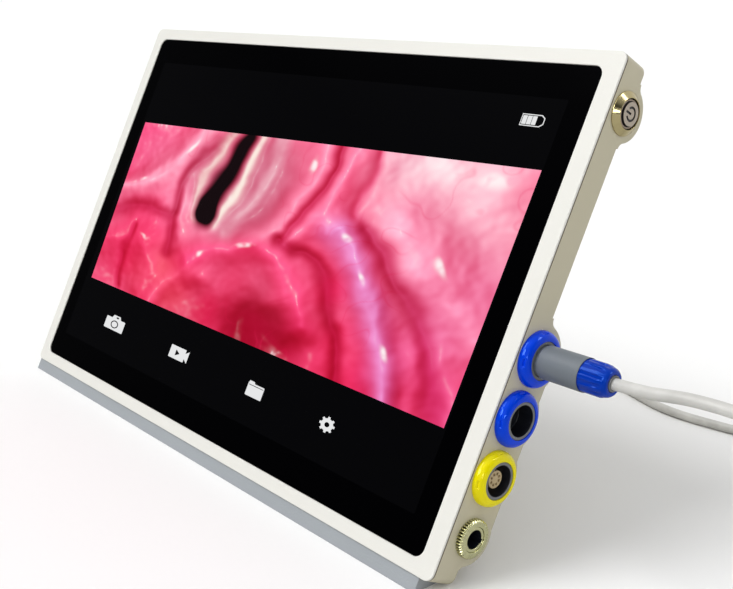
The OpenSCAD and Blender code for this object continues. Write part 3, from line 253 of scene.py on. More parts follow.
# %% Surfaces from grids of points
def surface(name, grid, wrap_u=False, wrap_v=False):
    """Mesh of an (m, n, 3) grid in metres: each point joins its next along u and along v, and a
    wrapped direction joins its end to its start. Points that coincide, as at a pole, are merged."""
    m, n = grid.shape[:2]
    u, v = np.meshgrid(np.arange(m - (not wrap_u)), np.arange(n - (not wrap_v)), indexing="ij")
    u2, v2 = (u + 1) % m, (v + 1) % n
    faces = np.stack([u * n + v, u * n + v2, u2 * n + v2, u2 * n + v], axis=-1).reshape(-1, 4)
    mesh = bpy.data.meshes.new(name)
    mesh.from_pydata(grid.reshape(-1, 3).tolist(), [], faces.tolist())
    work = bmesh.new()
    work.from_mesh(mesh)
    bmesh.ops.remove_doubles(work, verts=work.verts, dist=2e-7)
    bmesh.ops.recalc_face_normals(work, faces=work.faces)
    work.to_mesh(mesh)
    work.free()
    mesh.polygons.foreach_set("use_smooth", np.ones(len(mesh.polygons), bool))
    return placed(name, mesh)


def unit(v):
    """A vector, or an array of them, divided by its length."""
    return v / np.maximum(np.linalg.norm(v, axis=-1, keepdims=True), 1e-12)


def softened(profile, soft, closed, steps=4):
    """A profile with its corners rounded: each corner becomes a curve of the second degree from a
    point a little before it to one a little after, with a guard point on either side."""
    p = np.asarray(profile, float)
    back, ahead = np.roll(p, 1, axis=0) - p, np.roll(p, -1, axis=0) - p
    room = np.minimum(np.linalg.norm(back, axis=1), np.linalg.norm(ahead, axis=1))
    d = np.minimum(soft, 0.33 * room)[:, None]
    a, b = p + unit(back) * d, p + unit(ahead) * d
    t = np.linspace(0, 1, steps + 1)[None, :, None]
    curve = (1 - t) ** 2 * a[:, None] + 2 * t * (1 - t) * p[:, None] + t ** 2 * b[:, None]
    guard_a, guard_b = p + unit(back) * d * 1.4, p + unit(ahead) * d * 1.4
    full = np.concatenate([guard_a[:, None], curve, guard_b[:, None]], axis=1)
    if closed:
        return full.reshape(-1, 2)
    return np.concatenate([p[:1], full[1:-1].reshape(-1, 2), p[-1:]])


def turned(name, axis, profile, soft=0.15, count=96, shape=None, place=lean):
    """Surface of revolution about an axis along x through axis = (y, z) in mm. The profile lists
    distance along x and radius, and each of its points goes round: y and z are those of the axis
    plus the radius times the cosine and sine of the angle. shape(x, r, angle) may change the
    radius, and place turns the points from their frame to the scene's metres."""
    closed = min(r for _, r in profile) > 0
    line = softened(profile, soft, closed)
    angle = np.arange(count) * 2 * math.pi / count
    x = np.repeat(line[:, :1], count, axis=1)
    r = np.repeat(line[:, 1:], count, axis=1)
    a = np.broadcast_to(angle, x.shape)
    if shape is not None:
        r = shape(x, r, a)
    grid = np.stack([x, axis[0] + r * np.cos(a), axis[1] + r * np.sin(a)], axis=-1)
    return surface(name, place(grid), wrap_u=closed, wrap_v=True)


def dress(piece, coat, body, node=None):
    """Gives a piece its material and its body, and hides the solid it stands for, if one is named."""
    piece.data.materials.clear()
    piece.data.materials.append(coat)
    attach(piece, body)
    if node:
        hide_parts(node)
    print(f"{piece.name}: {len(piece.data.polygons)} faces")
    return piece


print("a square with soft corners has", len(softened([(0, 0), (1, 0), (1, 1), (0, 1)], 0.1, True)), "points")

# %% [markdown]
# ## The cable
#
# A real cable of this kind has a soft, light grey jacket with a faint sheen. It is one tube:
# a ring of points is carried along the line, square to it, and the ends are closed. One tube
# stands for both solids of the cable, so the coil and the free stretch show no joint.

# %% Lay the cable
def tube(name, line_mm, radius_mm, sides=14):
    """Ring of points carried along a line: each ring lies across the line's direction, with one
    arm level and the other square to both. The ends close in a point."""
    p = np.asarray(line_mm, float)
    ahead = unit(np.gradient(p, axis=0))
    side = unit(np.cross(ahead, [0.0, 0.0, 1.0]))
    top = np.cross(side, ahead)
    a = np.arange(sides) * 2 * math.pi / sides
    ring = np.cos(a)[None, :, None] * side[:, None] + np.sin(a)[None, :, None] * top[:, None]
    grid = p[:, None] + radius_mm * ring
    ends = np.repeat(p[[0, -1], None], sides, axis=1)
    return surface(name, np.concatenate([ends[:1], grid, ends[1:]]) / MM, wrap_v=True)


jacket, tree, shader = finish_called(
    "silicone_cable_jacket", "#d3d2ce", Roughness=0.42, IOR=1.42, Coat_Weight=0.12, Coat_Roughness=0.3)
place = add(tree, "ShaderNodeTexCoord").outputs["Object"]
# Soft silicone picks up faint handling marks a few millimetres long, which tint it, and its
# moulded grain is drawn half a millimetre wide so that it shows.
marks = add(tree, "ShaderNodeTexNoise", {"Scale": MM / 9.0, "Detail": 3.0}, {"Vector": place})
share = add(tree, "ShaderNodeMapRange", {"From Min": 0.3, "From Max": 0.7}, {"Value": marks})
tint = add(tree, "ShaderNodeMix", {
    "data_type": "RGBA", 6: linear("#c6c5c1"), 7: linear("#dddcd8")}, {0: share})
grain = add(tree, "ShaderNodeTexNoise", {"Scale": MM / 0.5, "Detail": 2.0}, {"Vector": place})
bump = add(tree, "ShaderNodeBump", {"Strength": 0.12, "Distance": 0.1 / MM}, {"Height": grain})
join(shader, {"Base Color": tint.outputs[2], "Normal": bump})

cable = tube("cable", line, CABLE_D / 2)
dress(cable, jacket, "plug")
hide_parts("video_cable", "cable_coil")

# %% [markdown]
# ## Finishes of the housing
#
# The front plate and the case are moulded and then painted: an off-white paint with a fine
# sand-like grain. On the case it is darker and warmer, which partly paints in the shade on the
# side with the sockets. The grain is about half a millimetre, so it is a noise in object
# coordinates that only bends the light; a second, larger noise varies the roughness as handling
# does. The solids have sharp edges, and no real edge is that sharp, so the shader also turns the
# normal softly near an edge, which catches a thin line of light there.

# %% Painted plastics and rubber
MOULDED_EDGE_MM = 0.3


def grained(name, colour, other, grain_mm, strength, **settings):
    """A material whose colour drifts between two hex values over centimetres, with a fine grain
    of the given size as bump and a roughness that varies by a few hundredths."""
    made, tree, shader = finish_called(name, colour, **settings)
    place = add(tree, "ShaderNodeTexCoord").outputs["Object"]
    cloud = add(tree, "ShaderNodeTexNoise", {"Scale": MM / 40.0, "Detail": 4.0}, {"Vector": place})
    tint = add(tree, "ShaderNodeMix", {"data_type": "RGBA", 6: linear(colour), 7: linear(other)}, {0: cloud})
    base = settings["Roughness"]
    worn = add(tree, "ShaderNodeMapRange", {
        "From Min": 0.3, "From Max": 0.7, "To Min": base - 0.05, "To Max": base + 0.05}, {"Value": cloud})
    grain = add(tree, "ShaderNodeTexNoise", {
        "Scale": MM / grain_mm, "Detail": 2.0, "Roughness": 0.6}, {"Vector": place})
    edge = add(tree, "ShaderNodeBevel", {"Radius": MOULDED_EDGE_MM / MM})
    bump = add(tree, "ShaderNodeBump", {"Strength": strength, "Distance": grain_mm / 4 / MM},
               {"Height": grain, "Normal": edge})
    join(shader, {"Base Color": tint.outputs[2], "Roughness": worn, "Normal": bump})
    return made


# Sprayed paint: even and matt, with a sandy grain that breaks up every highlight
front_paint = grained("textured_paint_on_abs_front", "#edece6", "#e7e6df", 0.5, 0.35, Roughness=0.46)
# The case's copy is darker and warmer: partly painted shade for the side with the sockets
case_paint_and_shade = grained("textured_paint_on_abs_case_and_shade", "#d1cab1", "#c8c1a8", 0.5, 0.35, Roughness=0.48)
# Moulded silicone rubber: dense and dull, with hardly a highlight
foot_rubber = grained("grey_silicone_rubber", "#a6abb0", "#9ba0a5", 0.8, 0.4, Roughness=0.62, IOR=1.42)
black_rubber = grained("black_silicone_rubber", "#17181a", "#1d1e20", 0.6, 0.4, Roughness=0.6, IOR=1.42)
tie_rubber = grained("tie_silicone_dark", "#3b3d41", "#44464b", 0.5, 0.3, Roughness=0.55, IOR=1.42)
# Moulded nylon: satin, with one broad, soft highlight
socket_grey = grained("moulded_nylon_grey", "#77797c", "#6d6f72", 0.4, 0.2, Roughness=0.4)
plug_grey = grained("moulded_nylon_plug_grey", "#70777e", "#686f76", 0.35, 0.2, Roughness=0.5)
# Stiff moulded plastics that hold contacts: smooth, and a little glossier than nylon
insert_black = grained("moulded_pbt_black", "#15171f", "#1b1d26", 0.3, 0.2, Roughness=0.35)
insert_beige = grained("moulded_peek_beige", "#cdb78d", "#c4ad82", 0.3, 0.2, Roughness=0.42)
# Moulded ABS for parts inside: plain satin black
moulded_black = grained("moulded_abs_black", "#1a1b1d", "#212225", 0.4, 0.25, Roughness=0.45)
# Solder mask: a smooth green lacquer with a clear highlight
board_green = grained("solder_mask_green", "#1c5a34", "#174c2c", 0.5, 0.15, Roughness=0.3)
# Shrink sleeves of battery and looms: thin, smooth film
battery_wrap = grained("battery_sleeve_blue_grey", "#2d3440", "#343c4a", 0.5, 0.1, Roughness=0.35)
loom_white = grained("loom_sleeve_white", "#d9d9d6", "#cfcfcc", 0.5, 0.1, Roughness=0.5)
print("painted and moulded plastics:", len(bpy.data.materials))

# %% Painted shade in the open joint round the case
# The joint between front plate and case gets painted shade: a thin dark brown line. It is
# found by the height along the glass's normal.
out_of_glass = lean((0, 0, 1)) - lean((0, 0, 0))
out_of_glass /= np.linalg.norm(out_of_glass)
JOINT_SHADE_BROWN = "#64533e"


def joint_shade(coat, from_mm, to_mm):
    """Paints shade into a coat: brown where its depth behind the front face lies between two
    values. The height is compared with the middle of the two, within half their difference."""
    tree, shader = coat.node_tree, shader_of(coat)
    painted = shader.inputs["Base Color"].links[0].from_socket
    place = add(tree, "ShaderNodeTexCoord").outputs["Object"]
    height = add(tree, "ShaderNodeVectorMath", {
        "operation": "DOT_PRODUCT", 1: out_of_glass.tolist()}, {0: place})
    middle_z = float(out_of_glass @ lean((0, 0, -(from_mm + to_mm) / 2)))
    inside = add(tree, "ShaderNodeMath", {"operation": "COMPARE", 1: middle_z, 2: (to_mm - from_mm) / 2 / MM},
                 {0: height.outputs["Value"]})
    two = add(tree, "ShaderNodeMix", {"data_type": "RGBA", 7: linear(JOINT_SHADE_BROWN)}, {0: inside, 6: painted})
    join(shader, {"Base Color": two.outputs[2]})


# Painted shade in the joint: on the front plate from 0.64 mm behind its face, on the case in a strip at its
# front edge
joint_shade(front_paint, 0.64, 9.0)
joint_shade(case_paint_and_shade, 0.9, 1.02)
print("out of the glass is", out_of_glass.round(3))

# %% [markdown]
# ## Metals
#
# Plated parts are smooth metals with a little wear; brushed ones carry fine scratches that run
# one way. A noise gives both: even in all directions for plating, and stretched along one axis
# for a brushed face. It changes the roughness by a few hundredths and bends the light a little.

# %% Metals
PLATING = "#cbca9f"
METAL_EDGE_MM = 0.08


def metal(name, colour, roughness, scratch_mm=None, stretch=(1, 1, 1), strength=0.1):
    """A metal of one hex colour: scratches are a noise of that spacing, drawn out along the axes
    with the smaller stretch, and change both the bump and the roughness a little."""
    made, tree, shader = finish_called(name, colour, Metallic=1.0, Roughness=roughness)
    place = add(tree, "ShaderNodeTexCoord").outputs["Object"]
    drawn = add(tree, "ShaderNodeMapping", {"Scale": stretch}, {"Vector": place})
    lines = add(tree, "ShaderNodeTexNoise", {
        "Scale": MM / (scratch_mm or 2.0), "Detail": 3.0}, {"Vector": drawn})
    rough = add(tree, "ShaderNodeMapRange", {
        "From Min": 0.3, "From Max": 0.7, "To Min": max(0.02, roughness - 0.07), "To Max": roughness + 0.07,
    }, {"Value": lines})
    join(shader, {"Roughness": rough})
    if scratch_mm:
        edge = add(tree, "ShaderNodeBevel", {"Radius": METAL_EDGE_MM / MM})
        bump = add(tree, "ShaderNodeBump", {"Strength": strength, "Distance": 0.05 / MM},
                   {"Height": lines, "Normal": edge})
        join(shader, {"Normal": bump})
    return made


# Zinc-plated steel: bright, with a slight cloudiness
bright_steel = metal("zinc_plated_steel", "#c4c6c8", 0.28, 0.6, (1, 1, 1), 0.1)
# Bead-blasted and anodised aluminium: a pale, even sheen that mirrors nothing clearly
stand_alloy = metal("bead_blasted_anodised_aluminium", "#b9bbbe", 0.42, 0.35, (1, 1, 1), 0.25)
# Milled aluminium: fine lines along the cutter's path
chassis_alloy = metal("milled_aluminium", "#cdd0d3", 0.3, 0.5, (0.1, 1, 1), 0.1)
# Turned brass and gold plating: warm yellows, one bright and one deep
brass_plain = metal("turned_brass", "#c9a75a", 0.25, 0.5, (1, 1, 1), 0.05)
contact_gold = metal("gold_plated_contact", "#e2b95c", 0.2)
# Nickel plate with a warm, olive cast: soft mirror pictures of the room
nickel_dull = metal("nickel_plate_olive", PLATING, 0.22, 0.5, (1, 1, 1), 0.05)
# The same metal turned and polished: the clearest mirror on the object
button_metal = metal("turned_nickel_bezel", "#b6a97e", 0.13)
# Anodised plate, brushed from side to side: a satin face with a streaked highlight
label_silver = metal("anodised_plate_blank", "#c3c5c7", 0.4, 0.4, (0.05, 1, 1), 0.15)
print("finishes so far:", len(bpy.data.materials))

# %% [markdown]
# ## Which solid gets which finish
#
# Each solid of the CAD model is named after the real part, so one table of names and finishes
# dresses them all, those inside the case too, because a cut-away view shows them. A solid may
# have several material slots; all of them get the same finish.

# %% Every carried-over solid gets its finish
COATS = {
    "front_bezel": front_paint, "rear_housing": case_paint_and_shade, "glass_gasket": black_rubber,
    "display_panel": moulded_black, "display_pan": bright_steel, "display_pads": black_rubber,
    "chassis_plate": chassis_alloy, "main_board": board_green, "board_standoffs": brass_plain,
    "board_screws": bright_steel, "board_chips": moulded_black, "shield_can": bright_steel,
    "battery_pack": battery_wrap, "speaker": moulded_black,
    "mount_inserts": brass_plain, "label_plate": label_silver, "hinge_brackets": bright_steel,
    "hinge_pins": bright_steel, "stand_bail": stand_alloy,
    "stand_foot": black_rubber, "foot_strip": foot_rubber, "button_housing": button_metal,
    "button_cap": bright_steel, "button_light_ring": moulded_black, "button_nut": bright_steel,
    "button_switch": moulded_black, "video_socket_1": socket_grey, "video_insert_1": insert_black,
    "video_socket_2": socket_grey, "video_insert_2": insert_black, "data_socket": socket_grey,
    "data_insert": insert_beige, "socket_seals": black_rubber, "socket_pins": contact_gold,
    "power_ring": nickel_dull, "power_socket": nickel_dull, "power_contacts": contact_gold,
    "socket_looms": loom_white, "plug_core": plug_grey, "plug_pins": contact_gold,
    "plug_shell": plug_grey, "plug_collet": socket_grey, "cable_tie": tie_rubber,
    "handle_plug": plug_grey, "handle_plug_boot": tie_rubber, "handle_contacts": contact_gold,
}
for name, coat in COATS.items():
    recoat(name, coat)
print("solids with a finish of their own:", len(COATS))

# %% [markdown]
# ## Turned pieces with softened corners
#
# The rings, sockets, button and plug are turned parts. Each is drawn as a profile of points
# (distance along the axis, radius) whose corners are rounded by a fraction of a millimetre,
# because it is that small rounding which catches the light on a real edge. A Bevel modifier
# could round them as well, but would also round the slots and grooves, which are cut later.

# %% Gloss plastics for the rings and the nut
def glossy(name, colour, other, glint):
    """Glossy dyed plastic: a colour that drifts slightly between two hex values, and a very weak
    moulding ripple of 2.5 millimetres that bends its highlights. The dye lies in a clear plastic
    and part of the gloss comes back through it, so what it mirrors takes on the glint colour."""
    made, tree, shader = finish_called(
        name, colour, Roughness=0.1, Specular_IOR_Level=0.45, Specular_Tint=linear(glint))
    place = add(tree, "ShaderNodeTexCoord").outputs["Object"]
    ripple = add(tree, "ShaderNodeTexNoise", {"Scale": MM / 2.5, "Detail": 2.0}, {"Vector": place})
    tint = add(tree, "ShaderNodeMix", {"data_type": "RGBA", 6: linear(colour), 7: linear(other)}, {0: ripple})
    bump = add(tree, "ShaderNodeBump", {"Strength": 0.08, "Distance": 0.1 / MM}, {"Height": ripple})
    join(shader, {"Base Color": tint.outputs[2], "Normal": bump})
    return made


ring_blue = glossy("gloss_abs_blue", "#0044f0", "#003cde", "#7cb0ff")
ring_yellow = glossy("gloss_abs_yellow", "#fff200", "#f8e800", "#fff4a0")
nut_blue = glossy("gloss_abs_deep_blue", "#0438b4", "#0330a2", "#5c98ff")
# Smoked polycarbonate looks almost black; frosted, the same plastic is pale and scatters light
ring_dark = grained("smoked_polycarbonate", "#23251f", "#2b2d26", 0.4, 0.05, Roughness=0.15, IOR=1.58)
ring_window = grained("frosted_polycarbonate", "#b7a493", "#ae9b8a", 0.4, 0.1, Roughness=0.35, IOR=1.58)
print("finishes so far:", len(bpy.data.materials))

# %% [markdown]
# ## The coloured rings
#
# A ring nut of glossy plastic holds each socket in the case and tells the plugs apart: two are
# blue and one is yellow. Its front edge is a quarter round, and four shallow slots take the
# fitter's key. The slots are cut by the formula of the radius, so no solid has to be subtracted.

# %% Coloured rings round the sockets
SIDE_X = 132.0
SOCKET_Z = -10.2
SOCKET_YS = (-9.8, -28.6, -47.4)
POWER_Y = -66.2
SLOT_FLOOR = 8.0


def slotted(x, r, a):
    """Cuts four slots, 2.4 mm wide, into the outer edge from 1.5 mm above the side: there no radius
    is larger than the slots' floor, and the flanks slope over a quarter of a millimetre."""
    across = np.abs((a - math.radians(20) + math.pi / 4) % (math.pi / 2) - math.pi / 4) * r
    share = np.clip((1.3 - across) / 0.25, 0, 1) * np.clip((x - SIDE_X - 1.45) / 0.12, 0, 1)
    return r - share * np.maximum(r - SLOT_FLOOR, 0)


def ring_profile():
    """Section of a ring: bore, outer wall, and a quarter round of 2.6 mm towards the front face."""
    a = np.radians(np.linspace(0, 90, 17))
    return [
        (SIDE_X, 5.95), (SIDE_X, 8.8), *zip(SIDE_X + 0.4 + 2.6 * np.sin(a), 6.2 + 2.6 * np.cos(a)),
        (SIDE_X + 3, 5.95),
    ]


for y, node, coat, slot in zip(
        SOCKET_YS, ("video_ring_1", "video_ring_2", "data_ring"), (ring_blue, ring_blue, ring_yellow),
        ("ring_blue", "ring_blue", "ring_yellow")):
    ring = turned(node + "_turned", (y, SOCKET_Z), ring_profile(), 0.1, 288, slotted)
    dress(ring, coat, "tablet", node)

# %% [markdown]
# ## The socket bodies
#
# Inside each ring stands the grey body of the socket, and its bore is lined with black plastic.
# Both are one turned surface. The faces of the bore get a second material, and they are picked
# by where their middles lie: near the axis, and deeper than the rim.

# %% Socket bodies
BODY_PROFILE = [
    (123, 4.65), (123, 5.9), (127.1, 5.9), (127.1, 6.7), (129.1, 6.7), (129.1, 5.9), (134.8, 5.9),
    (134.8, 4.9), (129.2, 4.9), (129.2, 4.65),
]


def face_middles(piece, origin_mm):
    """Middles of a piece's faces, in metres, counted from a point of the monitor's frame."""
    spots = np.empty(len(piece.data.polygons) * 3)
    piece.data.polygons.foreach_get("center", spots)
    return spots.reshape(-1, 3) - lean(origin_mm)


def second_coat(piece, coat, chosen):
    """Gives the chosen faces of a piece a second material."""
    piece.data.materials.append(coat)
    piece.data.polygons.foreach_set("material_index", chosen.astype(np.int32))


def line_inside(body, y, r, x_end):
    """Gives the black plastic of the insert to the faces nearer a socket's axis than r and deeper
    than x_end, both in mm: the bore's wall and floor."""
    away = face_middles(body, (x_end, y, SOCKET_Z))
    second_coat(body, insert_black, (np.linalg.norm(away[:, 1:], axis=1) < r / MM) & (away[:, 0] < 0))


for y, node in zip(SOCKET_YS, ("video_socket_1", "video_socket_2", "data_socket")):
    body = turned(node + "_turned", (y, SOCKET_Z), BODY_PROFILE, 0.2, 96)
    dress(body, socket_grey, "tablet", node)
    line_inside(body, y, 4.96, 140)

# %% [markdown]
# ## The power socket
#
# The charger's socket is plain nickel-plated metal. Its ring nut has a knurled rim for the
# fingers: forty teeth whose gaps run out over the bevel. A bump could only fake them, and would
# leave the outline round, so they are cut into the surface. The gaps also get painted shade: the
# colour falls off with the distance to the axis, which makes the teeth easy to see.

# %% Painted shade in the gaps of the knurl
RIM_R, RIM_X, GAP_DEPTH = 6.25, 133.5, 0.45
knurl = metal("nickel_plate_knurled", PLATING, 0.22, 0.5, (1, 1, 1), 0.05)
tree = knurl.node_tree
place = add(tree, "ShaderNodeTexCoord").outputs["Object"]
axis_point = lean((0, POWER_Y, SOCKET_Z)).tolist()
off_axis = add(tree, "ShaderNodeVectorMath", {"operation": "SUBTRACT", 1: axis_point}, {0: place})
across = add(tree, "ShaderNodeVectorMath", {"operation": "MULTIPLY", 1: (0, 1, 1)}, {0: off_axis})
radius = add(tree, "ShaderNodeVectorMath", {"operation": "LENGTH"}, {0: across}).outputs["Value"]
depth = add(tree, "ShaderNodeMapRange", {
    "From Min": (RIM_R - 0.1) / MM, "From Max": (RIM_R - 0.35) / MM}, {"Value": radius})
along = add(tree, "ShaderNodeSeparateXYZ", links={"Vector": place}).outputs["X"]
rim = add(tree, "ShaderNodeMath", {"operation": "LESS_THAN", 1: float(lean((RIM_X, 0, 0))[0])}, {0: along})
# Painted shade in the gaps between the teeth, not on the bevel
gap_shade = add(tree, "ShaderNodeMath", {"operation": "MULTIPLY"}, {0: depth, 1: rim})
tint = add(tree, "ShaderNodeMix", {"data_type": "RGBA", 6: linear(PLATING), 7: linear("#46452a")}, {0: gap_shade})
join(shader_of(knurl), {"Base Color": tint.outputs[2]})
print("gaps darken from a radius of", RIM_R - 0.1, "mm inwards")

# %% The knurled power socket
TEETH = 40
BORE_R, KEY_FLOOR_X = 3, 126.3


def toothed(x, r, a):
    """V-shaped gaps between teeth: the radius less a triangle wave of the angle, cut flat at the
    teeth, which fades out over the bevel below a radius of 5.9 mm."""
    wave = np.abs((a * TEETH / (2 * math.pi)) % 1 - 0.5) * 2
    return r - GAP_DEPTH * np.clip((wave - 0.3) / 0.6, 0, 1) * np.clip((r - 5.5) / 0.4, 0, 1)


def keyed(x, r, a):
    """A key slot towards the back: the bore's radius grows by 0.55 mm where the arc from the slot's
    middle is under 0.72 mm, with flanks that slope over 0.14 mm."""
    across = np.abs((a + math.pi / 2 + math.pi) % (2 * math.pi) - math.pi) * r
    share = np.clip((0.72 - across) / 0.14, 0, 1) * (np.abs(r - BORE_R) < 0.35) * (x > KEY_FLOOR_X)
    return r + 0.55 * share


knurled = turned("power_ring_turned", (POWER_Y, SOCKET_Z), [
    (132, 4.05), (132, RIM_R), (RIM_X, RIM_R), (134, 5.85), (134, 4.05)], 0.12, 400, toothed)
dress(knurled, knurl, "tablet", "power_ring")
inlet = turned("power_socket_turned", (POWER_Y, SOCKET_Z), [
    (120.4, 0), (120.4, 4.5), (127.1, 4.5), (127.1, 5.6), (129.1, 5.6), (129.1, 4), (133.8, 4),
    (133.8, BORE_R), (126.4, BORE_R), (126.4, 0),
], 0.2, 192, keyed)
dress(inlet, nickel_dull, "tablet", "power_socket")
line_inside(inlet, POWER_Y, 3.62, 133.2)

# %% [markdown]
# ## The power button
#
# The button is a bought part: a bevelled metal bezel, a dark ring whose frosted middle would
# light up, and a brushed cap with an engraved sign. Bezel and ring are turned. The cap stays as
# the CAD program made it, and the engraving's dark fill is found by its depth below the face.

# %% The power button
BUTTON = (BUTTON_Y, BUTTON_Z)
bezel = turned("button_bezel", BUTTON, [
    (125.3, 3.25), (125.3, 5.9), (132, 5.9), (132, 6.6), (132.4, 6.6), (133.8, 4.8), (133.8, 4.6),
    (131.9, 4.6), (131.9, 3.54), (126.3, 3.54), (126.3, 3.25),
], 0.12, 128)
dress(bezel, button_metal, "tablet", "button_housing")
halo = turned("button_halo", BUTTON, [
    (131.9, 3.54), (131.9, 4.5), (133.2, 4.5), (133.2, 4.25), (133.5, 4.15), (133.5, 3.85), (133.2, 3.75),
    (133.2, 3.54),
], 0.06, 96)
dress(halo, ring_dark, "tablet", "button_light_ring")
second_coat(halo, ring_window, face_middles(halo, (133.25, BUTTON_Y, BUTTON_Z))[:, 0] > 0)

# %% The cap's brushed face and its dark sign
engraved, tree, shader = finish_called("brushed_steel_cap_dark_sign", "#b4b2a6", Metallic=1.0, Roughness=0.3)
SIGN_DEPTH_MM = 0.12
sign_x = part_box("button_cap")[1][0] - SIGN_DEPTH_MM / MM
place = add(tree, "ShaderNodeTexCoord").outputs["Object"]
along = add(tree, "ShaderNodeSeparateXYZ", links={"Vector": place}).outputs["X"]
filled = add(tree, "ShaderNodeMath", {"operation": "LESS_THAN", 1: sign_x}, {0: along})
tint = add(tree, "ShaderNodeMix", {
    "data_type": "RGBA", 6: linear("#b5aa9d"), 7: linear("#1d1c20")}, {0: filled})
bare = add(tree, "ShaderNodeMath", {"operation": "SUBTRACT", 0: 1.0}, {1: filled})
# The brush leaves lines that run up and down the face, a quarter of a millimetre apart
drawn = add(tree, "ShaderNodeMapping", {"Scale": (1, 1, 0.06)}, {"Vector": place})
lines = add(tree, "ShaderNodeTexNoise", {"Scale": MM / 0.25, "Detail": 3.0}, {"Vector": drawn})
bump = add(tree, "ShaderNodeBump", {"Strength": 0.2, "Distance": 0.05 / MM}, {"Height": lines})
join(shader, {"Base Color": tint.outputs[2], "Metallic": bare, "Normal": bump})
recoat("button_cap", engraved)
print("the sign lies past", SIGN_DEPTH_MM, "mm below the face")

# %% [markdown]
# ## The plug
#
# The plug is a smooth grey sleeve, a blue nut with twelve grooves for the grip, and a small grey
# collet that holds the cable. The nut tapers and is rounded at its end, so its profile has more
# points there, and the grooves start only past its plain collar.

# %% The plug in the first socket
NUT_R, COLLAR_END_X, GROOVE_ANGLE = 4.925, 151.9, math.pi / 6


def grooved(x, r, a):
    """Grooves along the nut, 1.1 mm wide and 0.45 mm deep, with sloping flanks: no radius there is
    larger than that of the grooves' floor."""
    across = np.abs((a + GROOVE_ANGLE / 2) % GROOVE_ANGLE - GROOVE_ANGLE / 2) * r
    share = np.clip((0.7 - across) / 0.3, 0, 1) * np.clip((x - COLLAR_END_X) / 0.3, 0, 1)
    return r - share * np.maximum(r - (NUT_R - 0.45), 0) * (r > 3.5)


PLUG = (SOCKET_YS[0], SOCKET_Z)
shell = turned("plug_shell_turned", PLUG, [
    (131.4, 3.95), (131.4, 4.75), (135.2, 4.75), (136, 5.15), (150.5, 5.15), (150.5, 5.025),
    (146.8, 5.025), (146.8, 3.95),
], 0.3, 96)
dress(shell, plug_grey, "plug_sleeve", "plug_shell")
nut = turned("plug_nut_turned", PLUG, [
    (148.3, 3.2), (148.3, NUT_R), (156.3, NUT_R), (158.7, 4.26), (159.5, 3.6), (159.5, 2.45),
    (153.7, 2.45), (153.7, 3.2),
], 0.5, 288, grooved)
dress(nut, nut_blue, "plug", "plug_nut")
collet = turned("plug_collet_turned", PLUG, [
    (153.7, 0), (153.7, 2.4), (159.9, 2.4), (159.9, 1.85), (156.3, 1.85), (156.3, 0),
], 0.2, 96)
dress(collet, socket_grey, "plug", "plug_collet")

# %% [markdown]
# ## Screws with a hexagon socket
#
# Six small steel screws close the housing from behind, and four hold the hinge brackets. A
# plain disc would pass for a screw only from afar, so each one is turned from a profile that
# has its shank, its head and the socket, whose round wall is then drawn in to a hexagon of
# two millimetres across the flats. The key's hole is real depth, so its floor lies in shade.

# %% Turn the screws
HEX_R = 1.16
SHANK_R, HEAD_R, HEAD_T, SOCKET_FLOOR = 1.25, 2.3, 1.4, 0.45


def six_sided(x, r, angle):
    """Radius on the flats of a hexagon, for the socket's wall alone: the circle through the corners
    times cos 30 degrees over the cosine of the angle from the flat's middle."""
    turn = math.radians(60)
    flat = math.cos(turn / 2) / np.cos(angle % turn - turn / 2)
    share = np.clip((HEX_R + 0.25 - r) / 0.15, 0, 1) * (x > 0.1)
    return r * (1 - share * (1 - flat))


def socket_screws(node, places, seat, shank):
    """Screws square to the back, at (x, y) places in mm, with the head's underside at seat. They are
    turned along x, and backwards() swaps that for the direction out of the back."""
    def backwards(grid):
        return lean(np.stack([grid[..., 2], grid[..., 1], -seat - grid[..., 0]], axis=-1))

    for number, (x, y) in enumerate(places, 1):
        made = turned(f"{node}_{number}", (y, x), [
            (-shank, 0), (-shank, SHANK_R), (0, SHANK_R), (0, HEAD_R), (HEAD_T, HEAD_R), (HEAD_T, HEX_R),
            (SOCKET_FLOOR, HEX_R), (SOCKET_FLOOR, 0),
        ], 0.16, 48, six_sided, backwards)
        dress(made, bright_steel, "tablet", node)


socket_screws("case_screws", [(x, y) for x in (-100.32, 0, 100.32) for y in (-76, 76)], 9.6, 7.1)
socket_screws("bracket_screws", [(side * x, 39.81) for side in (-1, 1) for x in (53.1, 63.9)], 23.2, 3.0)

# %% [markdown]
# ## The far connector
#
# At its far end the cable has a larger connector for the handle, which lies beside the coil. Its
# two grips stand proud of the body, and a ribbed boot tapers down to the cable so that it can't
# kink there. The ribs are steps in the boot's profile, worked out from their number.

# %% The connector at the cable's far end
def upright(points):
    """Points already in the scene's frame, from mm to metres."""
    return np.asarray(points, float) / MM


FAR_X = COIL_X + CABLE_D
FAR = (coil_end_y, top_z)
FAR_R = top_z - 0.15
far_body = turned("handle_plug_turned", FAR, [
    (FAR_X + x, r) for x, r in (
        (16, 0), (16, FAR_R - 0.8), (17.2, FAR_R), (25, FAR_R), (25.8, FAR_R - 0.8), (40, FAR_R - 0.8),
        (40.8, FAR_R), (42, FAR_R), (42, FAR_R - 2.4), (32, FAR_R - 2.4), (32, 0))
], 0.35, 96, place=upright)
dress(far_body, plug_grey, "plug", "handle_plug")

